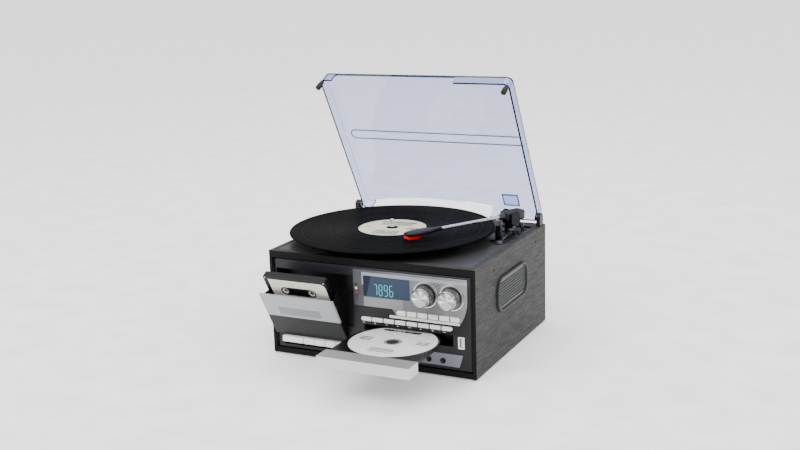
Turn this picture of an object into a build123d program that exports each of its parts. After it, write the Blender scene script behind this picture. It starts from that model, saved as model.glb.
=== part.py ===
from build123d import *
import math
import os

# A tabletop record player in a wooden box, with a cassette bay, a CD tray, a radio panel and speakers.
# Millimetres. X runs to the right seen from the front, Y to the back, Z up from the surface it stands on.
# The origin is the middle of the footprint on that surface.

# Cabinet
cabinet_width = 318.0
cabinet_depth = 280.0
cabinet_height = 152.0
foot_height = 2.0
foot_radius = 9.0
foot_inset = 24.0
side_board = 5.0
top_board_thickness = 9.5
base_board = 8.0
back_board = 3.0
top_frame_front = 12.0
top_frame_side = 4.3
top_frame_back = 8.0
board_edge = 0.8
screw_shares = (0.2415, 0.842)
screw_below_top = 17.3

# Running and seating gaps
slide_gap = 0.3
fit_gap = 0.2
pin_gap = 0.1
shaft_gap = 0.06

# Front moulding
fascia_recess = 2.0
fascia_wall = 3.0
fascia_skirt = 6.4
fascia_rim = 2.4
fascia_side_gap = 2.0
fascia_edge_gap = 0.5
fascia_bevel = 2.6

# Deck moulding and platter
deck_wall = 3.0
deck_flange = 3.0
well_depth = 2.5
platter_radius = 98.0
platter_height = 9.5
platter_wall = 3.0
platter_holes = 6
platter_hole_radius = 9.0
mat_thickness = 1.2
spindle_x = -25.0
spindle_y = -11.5
spindle_radius = 3.55
spindle_above_record = 13.0
record_radius = 150.8
record_thickness = 1.8
label_radius = 50.0
belt_ring_radius = 55.0
belt_thickness = 0.8
belt_height = 3.0
pulley_radius = 5.0
pulley_distance = 80.0
pulley_angle = 150.0
motor_radius = 17.0
motor_height = 24.0
motor_shaft_radius = 1.0

# Tonearm
pivot_x = 124.0
pivot_y = 84.0
arm_angle = 30.5
park_angle = 32.5
arm_height = 23.0
arm_length = 184.0
tube_radius = 2.6
yoke_half_width = 13.0
yoke_cheek = 3.0
arm_axle_radius = 1.0
headshell_width = 18.0
headshell_lead = 3.0
headshell_length = 57.0
headshell_neck = (4.6, 16.0, 28.0)
tube_end = arm_length + headshell_lead - headshell_length
cartridge_length = 22.0
pivot_tail = 21.0
rest_distance = 55.0
cue_in_front = 28.0
cue_beside = (11.0, 16.5)
cue_length = 50.0
switch_from_pivot = [(15.0, 11.0), (16.0, -16.0)]
switch_lean = 18.0
switch_pin_length = 8.0

# Lid
lid_width = 302.0
lid_length = 255.0
lid_wall = 2.5
lid_depth = 18.0
lid_above_deck = 17.1
lid_open = 60.8
lid_corner = 9.0
hinge_from_back = 14.0
hinge_above_deck = 12.6
hinge_pin_radius = 2.0
hinge_lug_radius = 5.5
bumper_radius = 4.0
lid_front_band = 3.5
lid_front_notch = (-131.0, 66.0)
lid_back_notch = (-136.0, 70.0)
lid_rib_from_back = 142.0
lid_rib_left = -138.0
lid_rib_half = 8.5
lid_guard_x = (92.0, 117.6)
lid_guard_from_back = (37.0, 15.0)

# Cassette bay, door and cassette
bay_left = -148.5
bay_right = -36.0
bay_bottom = 33.0
bay_top = 129.0
bay_depth = 25.0
well_wall = 1.6
door_left = -153.4
door_right = -34.5
door_length = 79.0
door_thickness = 3.0
door_open = 30.0
door_window_from = 38.0
door_pin_radius = 1.2
holder_wall = 1.6
cassette_width = 100.4
cassette_height = 63.8
cassette_thickness = 9.0
cassette_swell = 1.2
cassette_set_back = 13.2
cassette_top_open = 104.4
cassette_drop = 20.2
cassette_side = 2.25
hub_spacing = 42.5
hub_above_middle = 5.0
lifter_floor = 2.0
lifter_runner = 0.9
lifter_height = 36.0

# Piano keys
key_left = -139.5
key_widths = [33.5, 16.0, 16.0, 16.0, 16.0]
key_gap = 1.7
key_bottom = 21.5
key_height = 9.0
key_reach = 8.0
key_travel = 6.0
key_axis_back = 33.0
key_shaft_radius = 1.5

# Radio and display panel
panel_left = -23.5
panel_right = 147.0
panel_top = 139.5
panel_bottom = 79.0
panel_step = 87.6
panel_thickness = 1.0
screen_left = -8.0
screen_width = 71.0
screen_bottom = 102.0
screen_height = 29.0
knob_centres = [87.0, 125.5]
knob_height = 113.5
knob_radius = 13.8
knob_reach = 20.0
knob_ring_radius = 17.0
knob_shaft_radius = 3.0
top_row_left = 42.0
top_row_count = 6
top_row_pitch = 16.1
top_row_bottom = 79.7
low_row_left = -12.7
low_row_count = 8
low_row_pitch = 17.45
low_row_bottom = 66.3
button_gap = 2.2
button_height = 6.9
low_button_height = 5.6
button_reach = 2.2
button_travel = 1.2
bar_left = 31.0
bar_right = 136.0
bar_bottom = 75.0
bar_height = 3.6

# CD drive
disc_radius = 60.0
disc_thickness = 1.2
slot_width = 134.6
slot_bottom = 44.0
slot_height = 17.0
tray_travel = 134.5
tray_front_depth = 27.0
tray_rim = 2.0
tray_thickness = 4.6
tray_below_slot_top = 2.0
tray_length = 186.0
tongue_half = 45.0
tongue_rib = 3.0
tongue_rib_depth = 2.5
drive_wall = 2.0

# Sockets on the front
usb_x = 137.4
usb_z = 51.0
usb_width = 9.5
usb_height = 17.0
usb_from_slot = 7.15
usb_wall = 1.65
usb_tongue = 2.0
jack_x = [89.0, 110.0]
jack_z = 23.0
jack_bore = 1.8
jack_barrel = 3.2
jack_depth = 14.0
jack_plate_top = (81.7, 139.5)
jack_plate_bottom = (58.0, 134.0)
jack_plate_z = (16.0, 33.5)
jack_plate_thickness = 0.6

# Speakers
speaker_from_front = 143.0
speaker_height = 96.0
speaker_length = 101.0
speaker_tall = 48.0
speaker_corner = 15.0
speaker_rim = 4.5
grille_pitch = 7.2
grille_hole = 2.5

# Places worked out from the sizes above
half_width = cabinet_width / 2
front = -cabinet_depth / 2
back = cabinet_depth / 2
floor_z = foot_height
deck = foot_height + cabinet_height
inner_x = half_width - side_board
board_under = deck - top_board_thickness
base_top = floor_z + base_board
face = front + fascia_recess
fascia_back = face + fascia_wall
recess_floor = deck - well_depth
platter_top = recess_floor + 3.0 + platter_height + 2.0
mat_top = platter_top + mat_thickness
record_top = mat_top + record_thickness
arm_z = deck + arm_height
hinge_y = back - hinge_from_back
hinge_z = deck + hinge_above_deck
rim_z = deck + lid_above_deck
lid_back = hinge_y + 12.4
lid_front = lid_back - lid_length
door_axis_y = (face + fascia_back) / 2
door_axis_z = bay_bottom + 1.5
door_face = face - slide_gap - door_thickness
slot_middle = slot_bottom + slot_height / 2
tray_rest = face - fascia_recess / 2 - tray_travel
tray_middle = usb_x - usb_width / 2 - usb_from_slot - slot_width / 2
slot_top = slot_bottom + slot_height
tray_top = slot_top - tray_below_slot_top
tray_low = tray_top - tray_thickness
tray_half = disc_radius + 1 + tray_rim
disc_y = tray_rest + tray_front_depth + 1.5 + disc_radius + 1
disc_closed_y = disc_y + tray_travel
speaker_y = front + speaker_from_front
pulley_x = spindle_x + pulley_distance * math.cos(math.radians(pulley_angle))
pulley_y = spindle_y + pulley_distance * math.sin(math.radians(pulley_angle))

faces = {
    "X": ((0, 1, 0), (1, 0, 0)),
    "Y": ((1, 0, 0), (0, -1, 0)),
    "Z": ((1, 0, 0), (0, 0, 1)),
}


def block(x, y, z):
    """A box between two corners, each span given as (low, high)."""
    middle = Pos((x[0] + x[1]) / 2, (y[0] + y[1]) / 2, (z[0] + z[1]) / 2)
    return middle * Box(x[1] - x[0], y[1] - y[0], z[1] - z[0])


def soft_block(x, y, z, radius, axis="Y"):
    """A box whose four edges along one axis are rounded."""
    centre = ((x[0] + x[1]) / 2, (y[0] + y[1]) / 2, (z[0] + z[1]) / 2)
    spans = {"X": x[1] - x[0], "Y": y[1] - y[0], "Z": z[1] - z[0]}
    wide = spans["Y"] if axis == "X" else spans["X"]
    tall = spans["Y"] if axis == "Z" else spans["Z"]
    x_dir, z_dir = faces[axis]
    plane = Plane(origin=centre, x_dir=x_dir, z_dir=z_dir)
    outline = RectangleRounded(wide, tall, radius)
    return extrude(plane * outline, spans[axis] / 2, both=True)


def rod(axis, low, high, radius, across):
    """A cylinder along one axis between two places, centred on the other two coordinates."""
    middle = (low + high) / 2
    spots = {
        "X": (middle, across[0], across[1]),
        "Y": (across[0], middle, across[1]),
        "Z": (across[0], across[1], middle),
    }
    x_dir, z_dir = faces[axis]
    plane = Plane(origin=spots[axis], x_dir=x_dir, z_dir=z_dir)
    return extrude(plane * Circle(radius), (high - low) / 2, both=True)


def turned(points, x=0.0, y=0.0):
    """A turned piece about a vertical axis, its half section given as (radius, height)."""
    outline = make_face(Polyline(*[(r, 0, z) for r, z in points], close=True))
    return Pos(x, y, 0) * revolve(outline, Axis.Z)


def plate_y(points, y_low, y_high):
    """A flat plate facing the front, its outline given as (x, z)."""
    outline = make_face(Polyline(*[(x, y_low, z) for x, z in points], close=True))
    return extrude(outline, y_high - y_low, dir=(0, 1, 0))


def plate_x(points, x_low, x_high):
    """A flat plate facing the side, its outline given as (y, z)."""
    outline = make_face(Polyline(*[(x_low, y, z) for y, z in points], close=True))
    return extrude(outline, x_high - x_low, dir=(1, 0, 0))


def turn(shape, degrees, y, z):
    """The shape turned about an axis along X through (y, z)."""
    return shape.rotate(Axis((0, y, z), (1, 0, 0)), degrees)


def speaker_frame(inset, x_low, x_high):
    y = (speaker_y - speaker_length / 2 + inset, speaker_y + speaker_length / 2 - inset)
    z = (speaker_height - speaker_tall / 2 + inset, speaker_height + speaker_tall / 2 - inset)
    return soft_block((x_low, x_high), y, z, speaker_corner - inset, "X")


def side_panel(side):
    low, high = sorted((side * inner_x, side * half_width))
    panel = block((low, high), (front, back), (floor_z, deck))
    outer = panel.faces().sort_by(Axis.X)[-1 if side > 0 else 0]
    panel = chamfer(outer.edges().filter_by(Axis.Z), board_edge)
    panel -= speaker_frame(speaker_rim, low - 1, high + 1)
    for share in screw_shares:
        spot = (front + share * cabinet_depth, deck - screw_below_top)
        panel -= rod("X", side * half_width - 1.5, side * half_width + 1.5, 2.0, spot)
    return panel


def bottom_panel():
    panel = block((-inner_x, inner_x), (front + 1, back), (floor_z, base_top))
    for i in range(7):
        panel -= soft_block((60 + 9 * i, 64 + 9 * i), (40, 90), (floor_z - 1, base_top + 1), 1.9, "Z")
    return panel


def back_panel():
    wall = block((-inner_x, inner_x), (back - back_board, back), (base_top, board_under))
    for i in range(8):
        x = -46 + 12 * i
        wall -= soft_block((x, x + 5), (back - 5, back + 1), (96, 130), 2.4, "Y")
    wall -= soft_block((88, 116), (back - 5, back + 1), (26, 44), 3, "Y")
    for z in (28, 46):
        wall -= rod("Y", back - 5, back + 1, 5.2, (-112, z))
    return wall


def rear_sockets():
    inlet = soft_block((88.2, 115.8), (back - 18, back - 0.4), (26.2, 43.8), 2.8, "Y")
    inlet += soft_block((86, 118), (back - back_board - 2, back - back_board), (24, 46), 3, "Y")
    inlet -= soft_block((92, 112), (back - 12, back), (30, 40), 4.5, "Y")
    for x in (98, 106):
        inlet += rod("Y", back - 14, back - 3, 1.2, (x, 35))
    pieces = [inlet]
    for z in (28, 46):
        socket = rod("Y", back - 16, back + 8, 4.1, (-112, z))
        socket += rod("Y", back - back_board - 2.5, back - back_board, 7.5, (-112, z))
        socket -= rod("Y", back - 6, back + 9, 1.7, (-112, z))
        pieces.append(socket)
    return pieces


def deck_span(grow=0.0):
    x = (-inner_x + top_frame_side - grow, inner_x - top_frame_side + grow)
    y = (front + top_frame_front - grow, back - top_frame_back + grow)
    return x, y


def top_board():
    board = block((-inner_x, inner_x), (front, back), (board_under, deck))
    x, y = deck_span()
    return board - block(x, y, (board_under - 1, deck + 1))


arm_recess_x = (pivot_x - 24, pivot_x + 23)
arm_recess_y = (pivot_y - 84, pivot_y + 33)


def deck_plate():
    x, y = deck_span(-fit_gap)
    wide_x, wide_y = deck_span(deck_flange)
    wide_x = (max(wide_x[0], -inner_x + 1), min(wide_x[1], inner_x - 1))
    inner = [(a[0] + deck_wall, a[1] - deck_wall) for a in (x, y)]
    plate = block(x, y, (board_under, deck))
    plate += block(wide_x, wide_y, (board_under - deck_wall, board_under))
    plate -= block(inner[0], inner[1], (board_under - deck_wall - 1, deck - deck_wall))
    well = platter_radius + 4
    under = recess_floor - deck_wall
    plate += rod("Z", under, deck - deck_wall, well + deck_wall, (spindle_x, spindle_y))
    plate -= rod("Z", recess_floor, deck + 1, well, (spindle_x, spindle_y))
    wide = [(a[0] - deck_wall, a[1] + deck_wall) for a in (arm_recess_x, arm_recess_y)]
    wide[0] = (wide[0][0], min(wide[0][1], inner[0][1]))
    plate += soft_block(wide[0], wide[1], (under, deck - deck_wall), 10, "Z")
    plate -= soft_block(arm_recess_x, arm_recess_y, (recess_floor, deck + 1), 8, "Z")
    plate += rod("Z", under - 18, under, 10, (spindle_x, spindle_y))
    for i in range(4):
        rib = block((9, 60), (-1.2, 1.2), (under - 8, under))
        plate += Pos(spindle_x, spindle_y, 0) * Rot(0, 0, 45 + 90 * i) * rib
    plate -= rod("Z", under - 20, deck, spindle_radius + 0.02, (spindle_x, spindle_y))
    plate -= rod("Z", under - 1, deck, 7.5, (pulley_x, pulley_y))
    for spot in switch_spots:
        plate -= soft_block((spot[0] - 7, spot[0] + 7), (spot[1] - 2.4, spot[1] + 2.4),
                            (under - 1, deck), 2.2, "Z")
    return plate


def center_spindle():
    top = record_top + spindle_above_record
    under = recess_floor - deck_wall
    r = spindle_radius
    return turned([(0, under - 17), (r, under - 17), (r, recess_floor), (7, recess_floor),
                   (7, recess_floor + 2), (r, recess_floor + 2), (r, top - 4), (r - 0.6, top - 1.6),
                   (r - 1.8, top - 0.4), (0, top)], spindle_x, spindle_y)


def platter():
    low = recess_floor + 3.0
    hub = spindle_radius + shaft_gap
    top = platter_top
    under = top - platter_wall
    ring = belt_ring_radius
    r = platter_radius
    dish = turned([(hub, recess_floor + 2 + slide_gap), (12, recess_floor + 2 + slide_gap), (12, under),
                   (ring - platter_wall, under), (ring - platter_wall, low + 1), (ring, low + 1),
                   (ring, under), (r - platter_wall, under), (r - platter_wall, low),
                   (r, low), (r, top - 1.5), (r - 1.5, top), (hub, top)], spindle_x, spindle_y)
    for i in range(platter_holes):
        spot = Pos(spindle_x, spindle_y, 0) * Rot(0, 0, 60 * i)
        dish -= spot * rod("Z", under - 1, top + 1, platter_hole_radius, (76, 0))
    mat = turned([(hub + 1, top), (r - 2, top), (r - 2, mat_top), (label_radius + 2, mat_top),
                  (label_radius + 1, mat_top - 0.5), (hub + 1, mat_top - 0.5)], spindle_x, spindle_y)
    return [dish, mat]


def record():
    hub = spindle_radius + pin_gap
    edge = record_radius
    low, top = mat_top, record_top
    return turned([(hub, low), (edge - 4, low), (edge - 0.6, low), (edge, low + 0.6), (edge, top - 0.6),
                   (edge - 0.6, top), (edge - 4, top), (edge - 5, top - 0.25),
                   (label_radius + 8, top - 0.25), (label_radius + 6, top - 0.45),
                   (label_radius + 1, top - 0.45), (label_radius, top - 0.1), (hub, top - 0.1)],
                  spindle_x, spindle_y)


def turntable_motor():
    under = recess_floor - deck_wall
    spot = (pulley_x, pulley_y)
    motor = rod("Z", under - 2 - motor_height, under - 2, motor_radius, spot)
    motor += soft_block((pulley_x - 24, pulley_x + 24), (pulley_y - 13, pulley_y + 13),
                        (under - 2, under), 12, "Z")
    motor -= rod("Z", under - motor_height + 4, under + 1, motor_shaft_radius + shaft_gap, spot)
    return motor


def motor_pulley():
    low = recess_floor + 3.0
    r = pulley_radius
    shaft = motor_shaft_radius
    belt_low = low + 2.2
    start = recess_floor - deck_wall - motor_height + 6
    return turned([(0, start), (shaft, start), (shaft, low), (r + 1.5, low), (r + 1.5, belt_low - 0.6),
                   (r, belt_low - 0.3), (r, belt_low + belt_height + 0.3),
                   (r + 1.5, belt_low + belt_height + 0.6), (r + 1.5, belt_low + belt_height + 1.4),
                   (0, belt_low + belt_height + 1.4)], pulley_x, pulley_y)


def belt_outline(big, small):
    """The outline of a band round two wheels, the big one at the origin, the small one along X."""
    lean = math.acos((big - small) / pulley_distance)
    c, s = math.cos(lean), math.sin(lean)
    top_big, top_small = (big * c, big * s), (pulley_distance + small * c, small * s)
    low_big, low_small = (big * c, -big * s), (pulley_distance + small * c, -small * s)
    edges = [Line(top_big, top_small),
             ThreePointArc(top_small, (pulley_distance + small, 0), low_small),
             Line(low_small, low_big),
             ThreePointArc(low_big, (-big, 0), top_big)]
    return make_face(edges)


def drive_belt():
    gap = 0.25
    big, small = belt_ring_radius + gap, pulley_radius + gap
    band = belt_outline(big + belt_thickness, small + belt_thickness) - belt_outline(big, small)
    band = extrude(band, belt_height)
    low = recess_floor + 3.0 + 2.2
    return Pos(spindle_x, spindle_y, low) * Rot(0, 0, pulley_angle) * band


switch_spots = [(pivot_x + dx, pivot_y - dy) for dx, dy in switch_from_pivot]
cue_x = (pivot_x + cue_beside[0], pivot_x + cue_beside[1])
cue_y = pivot_y - cue_in_front
cue_z = recess_floor + 9.5


def tonearm_base():
    plate_y_span = (pivot_y - rest_distance - 7, pivot_y + 8)
    base = soft_block((pivot_x - 9, pivot_x + 9.6), plate_y_span, (recess_floor, recess_floor + 2), 4, "Z")
    base += rod("Z", recess_floor, recess_floor + 3, 12.5, (pivot_x, pivot_y))
    column_top = arm_z - 10.8
    column = [(0, recess_floor), (11, recess_floor), (9, recess_floor + 5), (9, column_top), (0, column_top)]
    base += turned(column, pivot_x, pivot_y)
    base -= rod("Z", recess_floor + 3, column_top + 1, 3 + pin_gap, (pivot_x, pivot_y))
    # The ear that carries the cue lever.
    ear = plate_x([(cue_y - 6, recess_floor), (cue_y + 6, recess_floor), (cue_y + 3, cue_z),
                   (cue_y - 3, cue_z)], cue_x[0] - 3, cue_x[0] - slide_gap)
    ear += rod("X", cue_x[0] - 3, cue_x[0] - slide_gap, 4, (cue_y, cue_z))
    ear_y = (cue_y - 6, cue_y + 6)
    ear += block((pivot_x + 5, cue_x[0] - slide_gap), ear_y, (recess_floor, recess_floor + 2))
    ear -= rod("X", cue_x[0] - 4, cue_x[0], 1.5 + pin_gap, (cue_y, cue_z))
    base += ear
    # The arm rest: a ledge under the parked tube, with a stop and a catch on its outer side.
    parked = math.radians(park_angle - arm_angle)
    rest_x = pivot_x + rest_distance * math.sin(parked)
    rest_y = pivot_y - rest_distance * math.cos(parked)
    ledge = arm_z - tube_radius - slide_gap
    stop = tube_radius + slide_gap
    post = soft_block((rest_x - 4, rest_x + 4), (rest_y - 4, rest_y + 4), (recess_floor, ledge - 8), 2, "Z")
    span_y = (rest_y - 3, rest_y + 3)
    post += block((rest_x - 3.2, rest_x + stop + 1.6), span_y, (ledge - 8.5, ledge))
    post += block((rest_x + stop + 0.2, rest_x + stop + 1.6), span_y, (ledge - 4, arm_z + 5))
    return base + post


def in_arm(shape):
    """Built with the arm pointing to the front from the origin, then set on its pivot."""
    return Pos(pivot_x, pivot_y, 0) * Rot(0, 0, -arm_angle) * shape


def tonearm_yoke():
    low = arm_z - 10.8 + slide_gap
    stem = recess_floor + 5
    yoke = turned([(0, stem), (3, stem), (3, low), (12, low), (12, low + 2.4), (0, low + 2.4)])
    half = yoke_half_width
    for side in (-1, 1):
        x = sorted((side * (half - yoke_cheek), side * half))
        cheek = block(x, (-8, 8), (low + 1, arm_z))
        cheek += rod("X", x[0], x[1], 8, (0, arm_z))
        foot = block(sorted((side * 4, side * half)), (-8, 8), (low, low + 2.4))
        yoke += cheek + foot
    for side in (-1, 1):
        yoke -= rod("X", *sorted((side * (half - yoke_cheek - 1), side * (half + 1))),
                    arm_axle_radius + shaft_gap, (0, arm_z))
    return in_arm(yoke)


def tonearm_tube():
    half = yoke_half_width - yoke_cheek - slide_gap
    body = soft_block((-half, half), (-14, pivot_tail), (arm_z - 6.8, arm_z + 7.2), 3, "X")
    body = chamfer(body.edges().filter_by(Axis.Y).sort_by(Axis.Z)[-2:], 2.5)
    nose = Plane(origin=(0, -14, arm_z), x_dir=(1, 0, 0), z_dir=(0, -1, 0))
    body += extrude(nose * Circle(6), 10, taper=15)
    body += rod("Y", -tube_end, -13, tube_radius, (0, arm_z))
    body += rod("X", -half - yoke_cheek, half + yoke_cheek, arm_axle_radius, (0, arm_z))
    for side in (-1, 1):
        groove = sorted((side * (half - 1.2), side * (half + 1)))
        body -= soft_block(groove, (-11, -9), (arm_z - 5, arm_z + 5), 0.9, "X")
    return in_arm(body)


def headshell():
    tip = -(arm_length + headshell_lead)
    w = headshell_width / 2
    neck, neck_end, widest = headshell_neck
    low, top = arm_z - tube_radius + 0.1, arm_z + tube_radius - 0.1
    half = [(neck, -tube_end), (neck, -tube_end - neck_end), (w, -tube_end - widest), (w, tip + 7),
            (w - 2.5, tip + 2.5), (w - 6, tip)]
    outline = make_face(Polyline(*half, *[(-x, y) for x, y in reversed(half)], close=True))
    shell = Pos(0, 0, low) * extrude(outline, top - low)
    shell = chamfer(shell.faces().sort_by(Axis.Z)[-1].edges(), 1.0)
    lift = soft_block((w - 1, w + 7), (tip + 14, tip + 22), (low + 1, low + 2.6), 2, "Z")
    return in_arm(shell + lift)


def cartridge():
    low = arm_z - tube_radius + 0.1
    tip = -(arm_length + headshell_lead)
    heel = tip + cartridge_length
    profile = [(heel, low), (tip + 1, low), (tip, low - 2.4), (tip + 1, low - 4.4), (heel - 4, low - 4.4),
               (heel, low - 2.4)]
    body = plate_x([(y, z) for y, z in profile], -6.2, 6.2)
    stylus = Plane(origin=(0, -arm_length, low - 4.4), x_dir=(1, 0, 0), z_dir=(0, 0, -1))
    body += extrude(stylus * Circle(0.9), low - 4.4 - record_top - 0.35, taper=20)
    return in_arm(body)


def cue_lever():
    hub = rod("X", cue_x[0], cue_x[1], 4, (cue_y, cue_z))
    hub += rod("X", cue_x[0] - 3, cue_x[0], 1.5, (cue_y, cue_z))
    tip = cue_y - cue_length
    low = recess_floor + 3.4
    blade = plate_x([(cue_y, cue_z + 2), (cue_y, cue_z - 2.6), (tip + 8, low), (tip - 4, low + 0.6),
                     (tip - 4, low + 2.4), (tip + 8, low + 2.8)], cue_x[0] + 1, cue_x[1] - 1)
    pad = soft_block((cue_x[0] - 1.5, cue_x[1] + 1.5), (tip - 8, tip + 2), (low + 0.4, low + 3), 3, "Z")
    return hub + blade + pad


def switch_lever(spot):
    low = recess_floor - deck_wall - 5
    stick = rod("Z", low, recess_floor + 5, 1.5, spot)
    ball = Pos(spot[0], spot[1], low) * Sphere(3)
    # The pin that the lever tips on.
    ball += rod("Y", spot[1] - switch_pin_length / 2, spot[1] + switch_pin_length / 2, 1.2, (spot[0], low))
    top = recess_floor + 13
    cap = turned([(0, recess_floor + 4), (2.6, recess_floor + 4), (3.4, recess_floor + 5), (3.4, top - 1.4),
                  (2.4, top - 0.3), (0, top)], spot[0], spot[1])
    return (stick + ball + cap).rotate(Axis((*spot, low), (0, 1, 0)), -switch_lean)


def lid_open_pose(shape):
    return turn(shape, -lid_open, hinge_y, hinge_z)


def lid():
    top = rim_z + lid_depth
    half = lid_width / 2
    y = (lid_front, lid_back)
    outer = soft_block((-half, half), y, (rim_z, top), lid_corner, "Z")
    outer = fillet(outer.faces().sort_by(Axis.Z)[-1].edges(), 2.2)
    inner_top = top - lid_wall
    w = lid_wall
    inside = [(low + w, high - w) for low, high in ((-half, half), y)]
    inner = soft_block(*inside, (rim_z - 1, inner_top), lid_corner - w, "Z")
    cover = outer - fillet(inner.faces().sort_by(Axis.Z)[-1].edges(), 1.0)
    # The front wall is full height only near the corners.
    notch_z = (rim_z - 12, top - lid_front_band)
    cover -= soft_block(lid_front_notch, (y[0] - 1, y[0] + w + 4), notch_z, 5, "Y")
    # The back wall and the panel's edge are cut away behind the record.
    left, right = lid_back_notch
    cut = make_face([Line((left, y[1] + 2), (left, y[1] - 6)),
                     ThreePointArc((left, y[1] - 6), ((left + right) / 2, y[1] - 17), (right, y[1] - 9)),
                     Line((right, y[1] - 9), (right, y[1] + 2)), Line((right, y[1] + 2), (left, y[1] + 2))])
    cover -= Pos(0, 0, rim_z - 1) * extrude(cut, lid_depth + 3)
    # A shallow moulded rib across the panel, rounded at its left end.
    rib_y, r = lid_back - lid_rib_from_back, lid_rib_half
    rib_z = (inner_top - 1.2, inner_top + 0.5)
    rib = soft_block((lid_rib_left, half - w), (rib_y - r, rib_y + r), rib_z, r - 0.1, "Z")
    groove = (rib_y - r + 1.4, rib_y + r - 1.4)
    rib -= soft_block((lid_rib_left + 1.4, half - w + 1), groove, (inner_top - 2, inner_top), r - 1.5, "Z")
    cover += rib
    # A small box guards the tonearm's tail.
    guard_y = (lid_back - lid_guard_from_back[0], lid_back - lid_guard_from_back[1])
    guard_z = (inner_top - 1.6, inner_top + 0.5)
    guard = block(lid_guard_x, guard_y, guard_z)
    guard_inside = [(low + 1.6, high - 1.6) for low, high in (lid_guard_x, guard_y)]
    cover += guard - block(*guard_inside, (guard_z[0] - 1, guard_z[1] + 1))
    for side in (-1, 1):
        x = sorted((side * (half - w), side * half))
        lug = rod("X", x[0], x[1], hinge_lug_radius, (hinge_y, hinge_z))
        lug += block(x, (hinge_y - hinge_lug_radius, hinge_y + hinge_lug_radius), (hinge_z, rim_z + 2))
        cover += lug
        cover -= rod("X", x[0] - 1, x[1] + 1, hinge_pin_radius + pin_gap, (hinge_y, hinge_z))
    return lid_open_pose(cover)


def lid_bumpers():
    pieces = []
    for side in (-1, 1):
        spot = (side * (lid_width / 2 - bumper_radius), lid_front + bumper_radius)
        pieces.append(lid_open_pose(turned(
            [(0, deck + slide_gap), (bumper_radius - 1, deck + slide_gap), (bumper_radius, deck + 1.5),
             (bumper_radius, deck + 8), (bumper_radius - 1.2, rim_z), (0, rim_z)], *spot)))
    return pieces


def hinge_posts():
    pieces = []
    for side in (-1, 1):
        x_in = lid_width / 2 + 0.6
        x = sorted((side * x_in, side * (x_in + 6)))
        y = (hinge_y - 7, hinge_y + 7)
        post = block(x, y, (deck, hinge_z)) + rod("X", x[0], x[1], 7, (hinge_y, hinge_z))
        ends = sorted((side * (x_in - lid_wall - 1.2), side * (x_in + 1)))
        post += rod("X", ends[0], ends[1], hinge_pin_radius, (hinge_y, hinge_z))
        pieces.append(post)
    return pieces


def button_span(left, pitch, index):
    return (left + pitch * index, left + pitch * (index + 1) - button_gap)


def button_outline(row, index, grow=0.0):
    """One key cap's outline, with its outer end tapered on the first and last of a row."""
    left, pitch, bottom, height, count = rows[row]
    x0, x1 = button_span(left, pitch, index)
    x0, x1 = x0 - grow, x1 + grow
    z0, z1 = bottom - grow, bottom + height + grow
    cut = 0.35 * height
    points = [(x0, z0), (x1, z0), (x1, z1), (x0, z1)]
    if index == 0:
        points = [(x0 + cut, z0), (x1, z0), (x1, z1), (x0 + cut, z1), (x0, z1 - cut), (x0, z0 + cut)]
    if index == count - 1:
        points = [(x0, z0), (x1 - cut, z0), (x1, z0 + cut), (x1, z1 - cut), (x1 - cut, z1), (x0, z1)]
    return points


rows = {
    "top": (top_row_left, top_row_pitch, top_row_bottom, button_height, top_row_count),
    "low": (low_row_left, low_row_pitch, low_row_bottom, low_button_height, low_row_count),
}


def button(row, index):
    shape = button_outline(row, index)
    cap = plate_y(shape, face - button_reach, fascia_back + slide_gap)
    front_face = cap.faces().sort_by(Axis.Y)[0]
    cap = fillet(front_face.edges(), 0.7)
    wide = button_outline(row, index, 0.7)
    return cap + plate_y(wide, fascia_back + slide_gap, fascia_back + slide_gap + 1.4)


def button_holes(y_low, y_high, names=("top", "low")):
    holes = []
    for name in names:
        for i in range(rows[name][-1]):
            holes.append(plate_y(button_outline(name, i, slide_gap), y_low, y_high))
    return holes


def panel_outline():
    return make_face([Polyline((panel_left, face, panel_top), (panel_left, face, panel_step),
                               (36, face, panel_step), (41, face, panel_bottom), (138, face, panel_bottom)),
                      ThreePointArc((138, face, panel_bottom), (144.5, face, 94), (panel_right, face, 111)),
                      Polyline((panel_right, face, 111), (panel_right, face, panel_top),
                               (panel_left, face, panel_top))])


indicator_x = -19.0
indicator_z = [118.0, 113.0, 107.5]


def display_panel():
    plate = extrude(panel_outline(), panel_thickness, dir=(0, -1, 0))
    low, high = face - panel_thickness - 1, face + 1
    plate -= soft_block((screen_left, screen_left + screen_width), (low, high),
                        (screen_bottom, screen_bottom + screen_height), 1.5)
    for x in knob_centres:
        plate -= rod("Y", low, high, 5, (x, knob_height))
    for z in indicator_z:
        plate -= rod("Y", low, high, 1.3, (indicator_x, z))
    for hole in button_holes(low, high, ("top",)):
        plate -= hole
    return plate


def front_trims():
    """The chrome rings round the knobs, and the long bar between the rows of buttons."""
    pieces = []
    for x in knob_centres:
        r = knob_ring_radius
        ring = turned([(r - 2.6, panel_thickness), (r, panel_thickness), (r, panel_thickness + 1.6),
                       (r - 0.9, panel_thickness + 2.6), (r - 1.9, panel_thickness + 2.2),
                       (r - 2.6, panel_thickness + 1)])
        pieces.append(Pos(x, face, knob_height) * Rot(90, 0, 0) * ring)
    bar = soft_block((bar_left, bar_right), (face - 1.6, face), (bar_bottom, bar_bottom + bar_height), 1.7)
    pieces.append(fillet(bar.faces().sort_by(Axis.Y)[0].edges(), 0.6))
    return pieces


def lcd_screen():
    gap = fit_gap
    x = (screen_left + gap, screen_left + screen_width - gap)
    z = (screen_bottom + gap, screen_bottom + screen_height - gap)
    glass = soft_block(x, (face - panel_thickness - 0.2, face + 6), z, 1.3)
    x_wide = (x[0] - 3, x[1] + 3)
    z_wide = (z[0] - 3, z[1] + 3)
    return glass + block(x_wide, (fascia_back, fascia_back + 6), z_wide)


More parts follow.
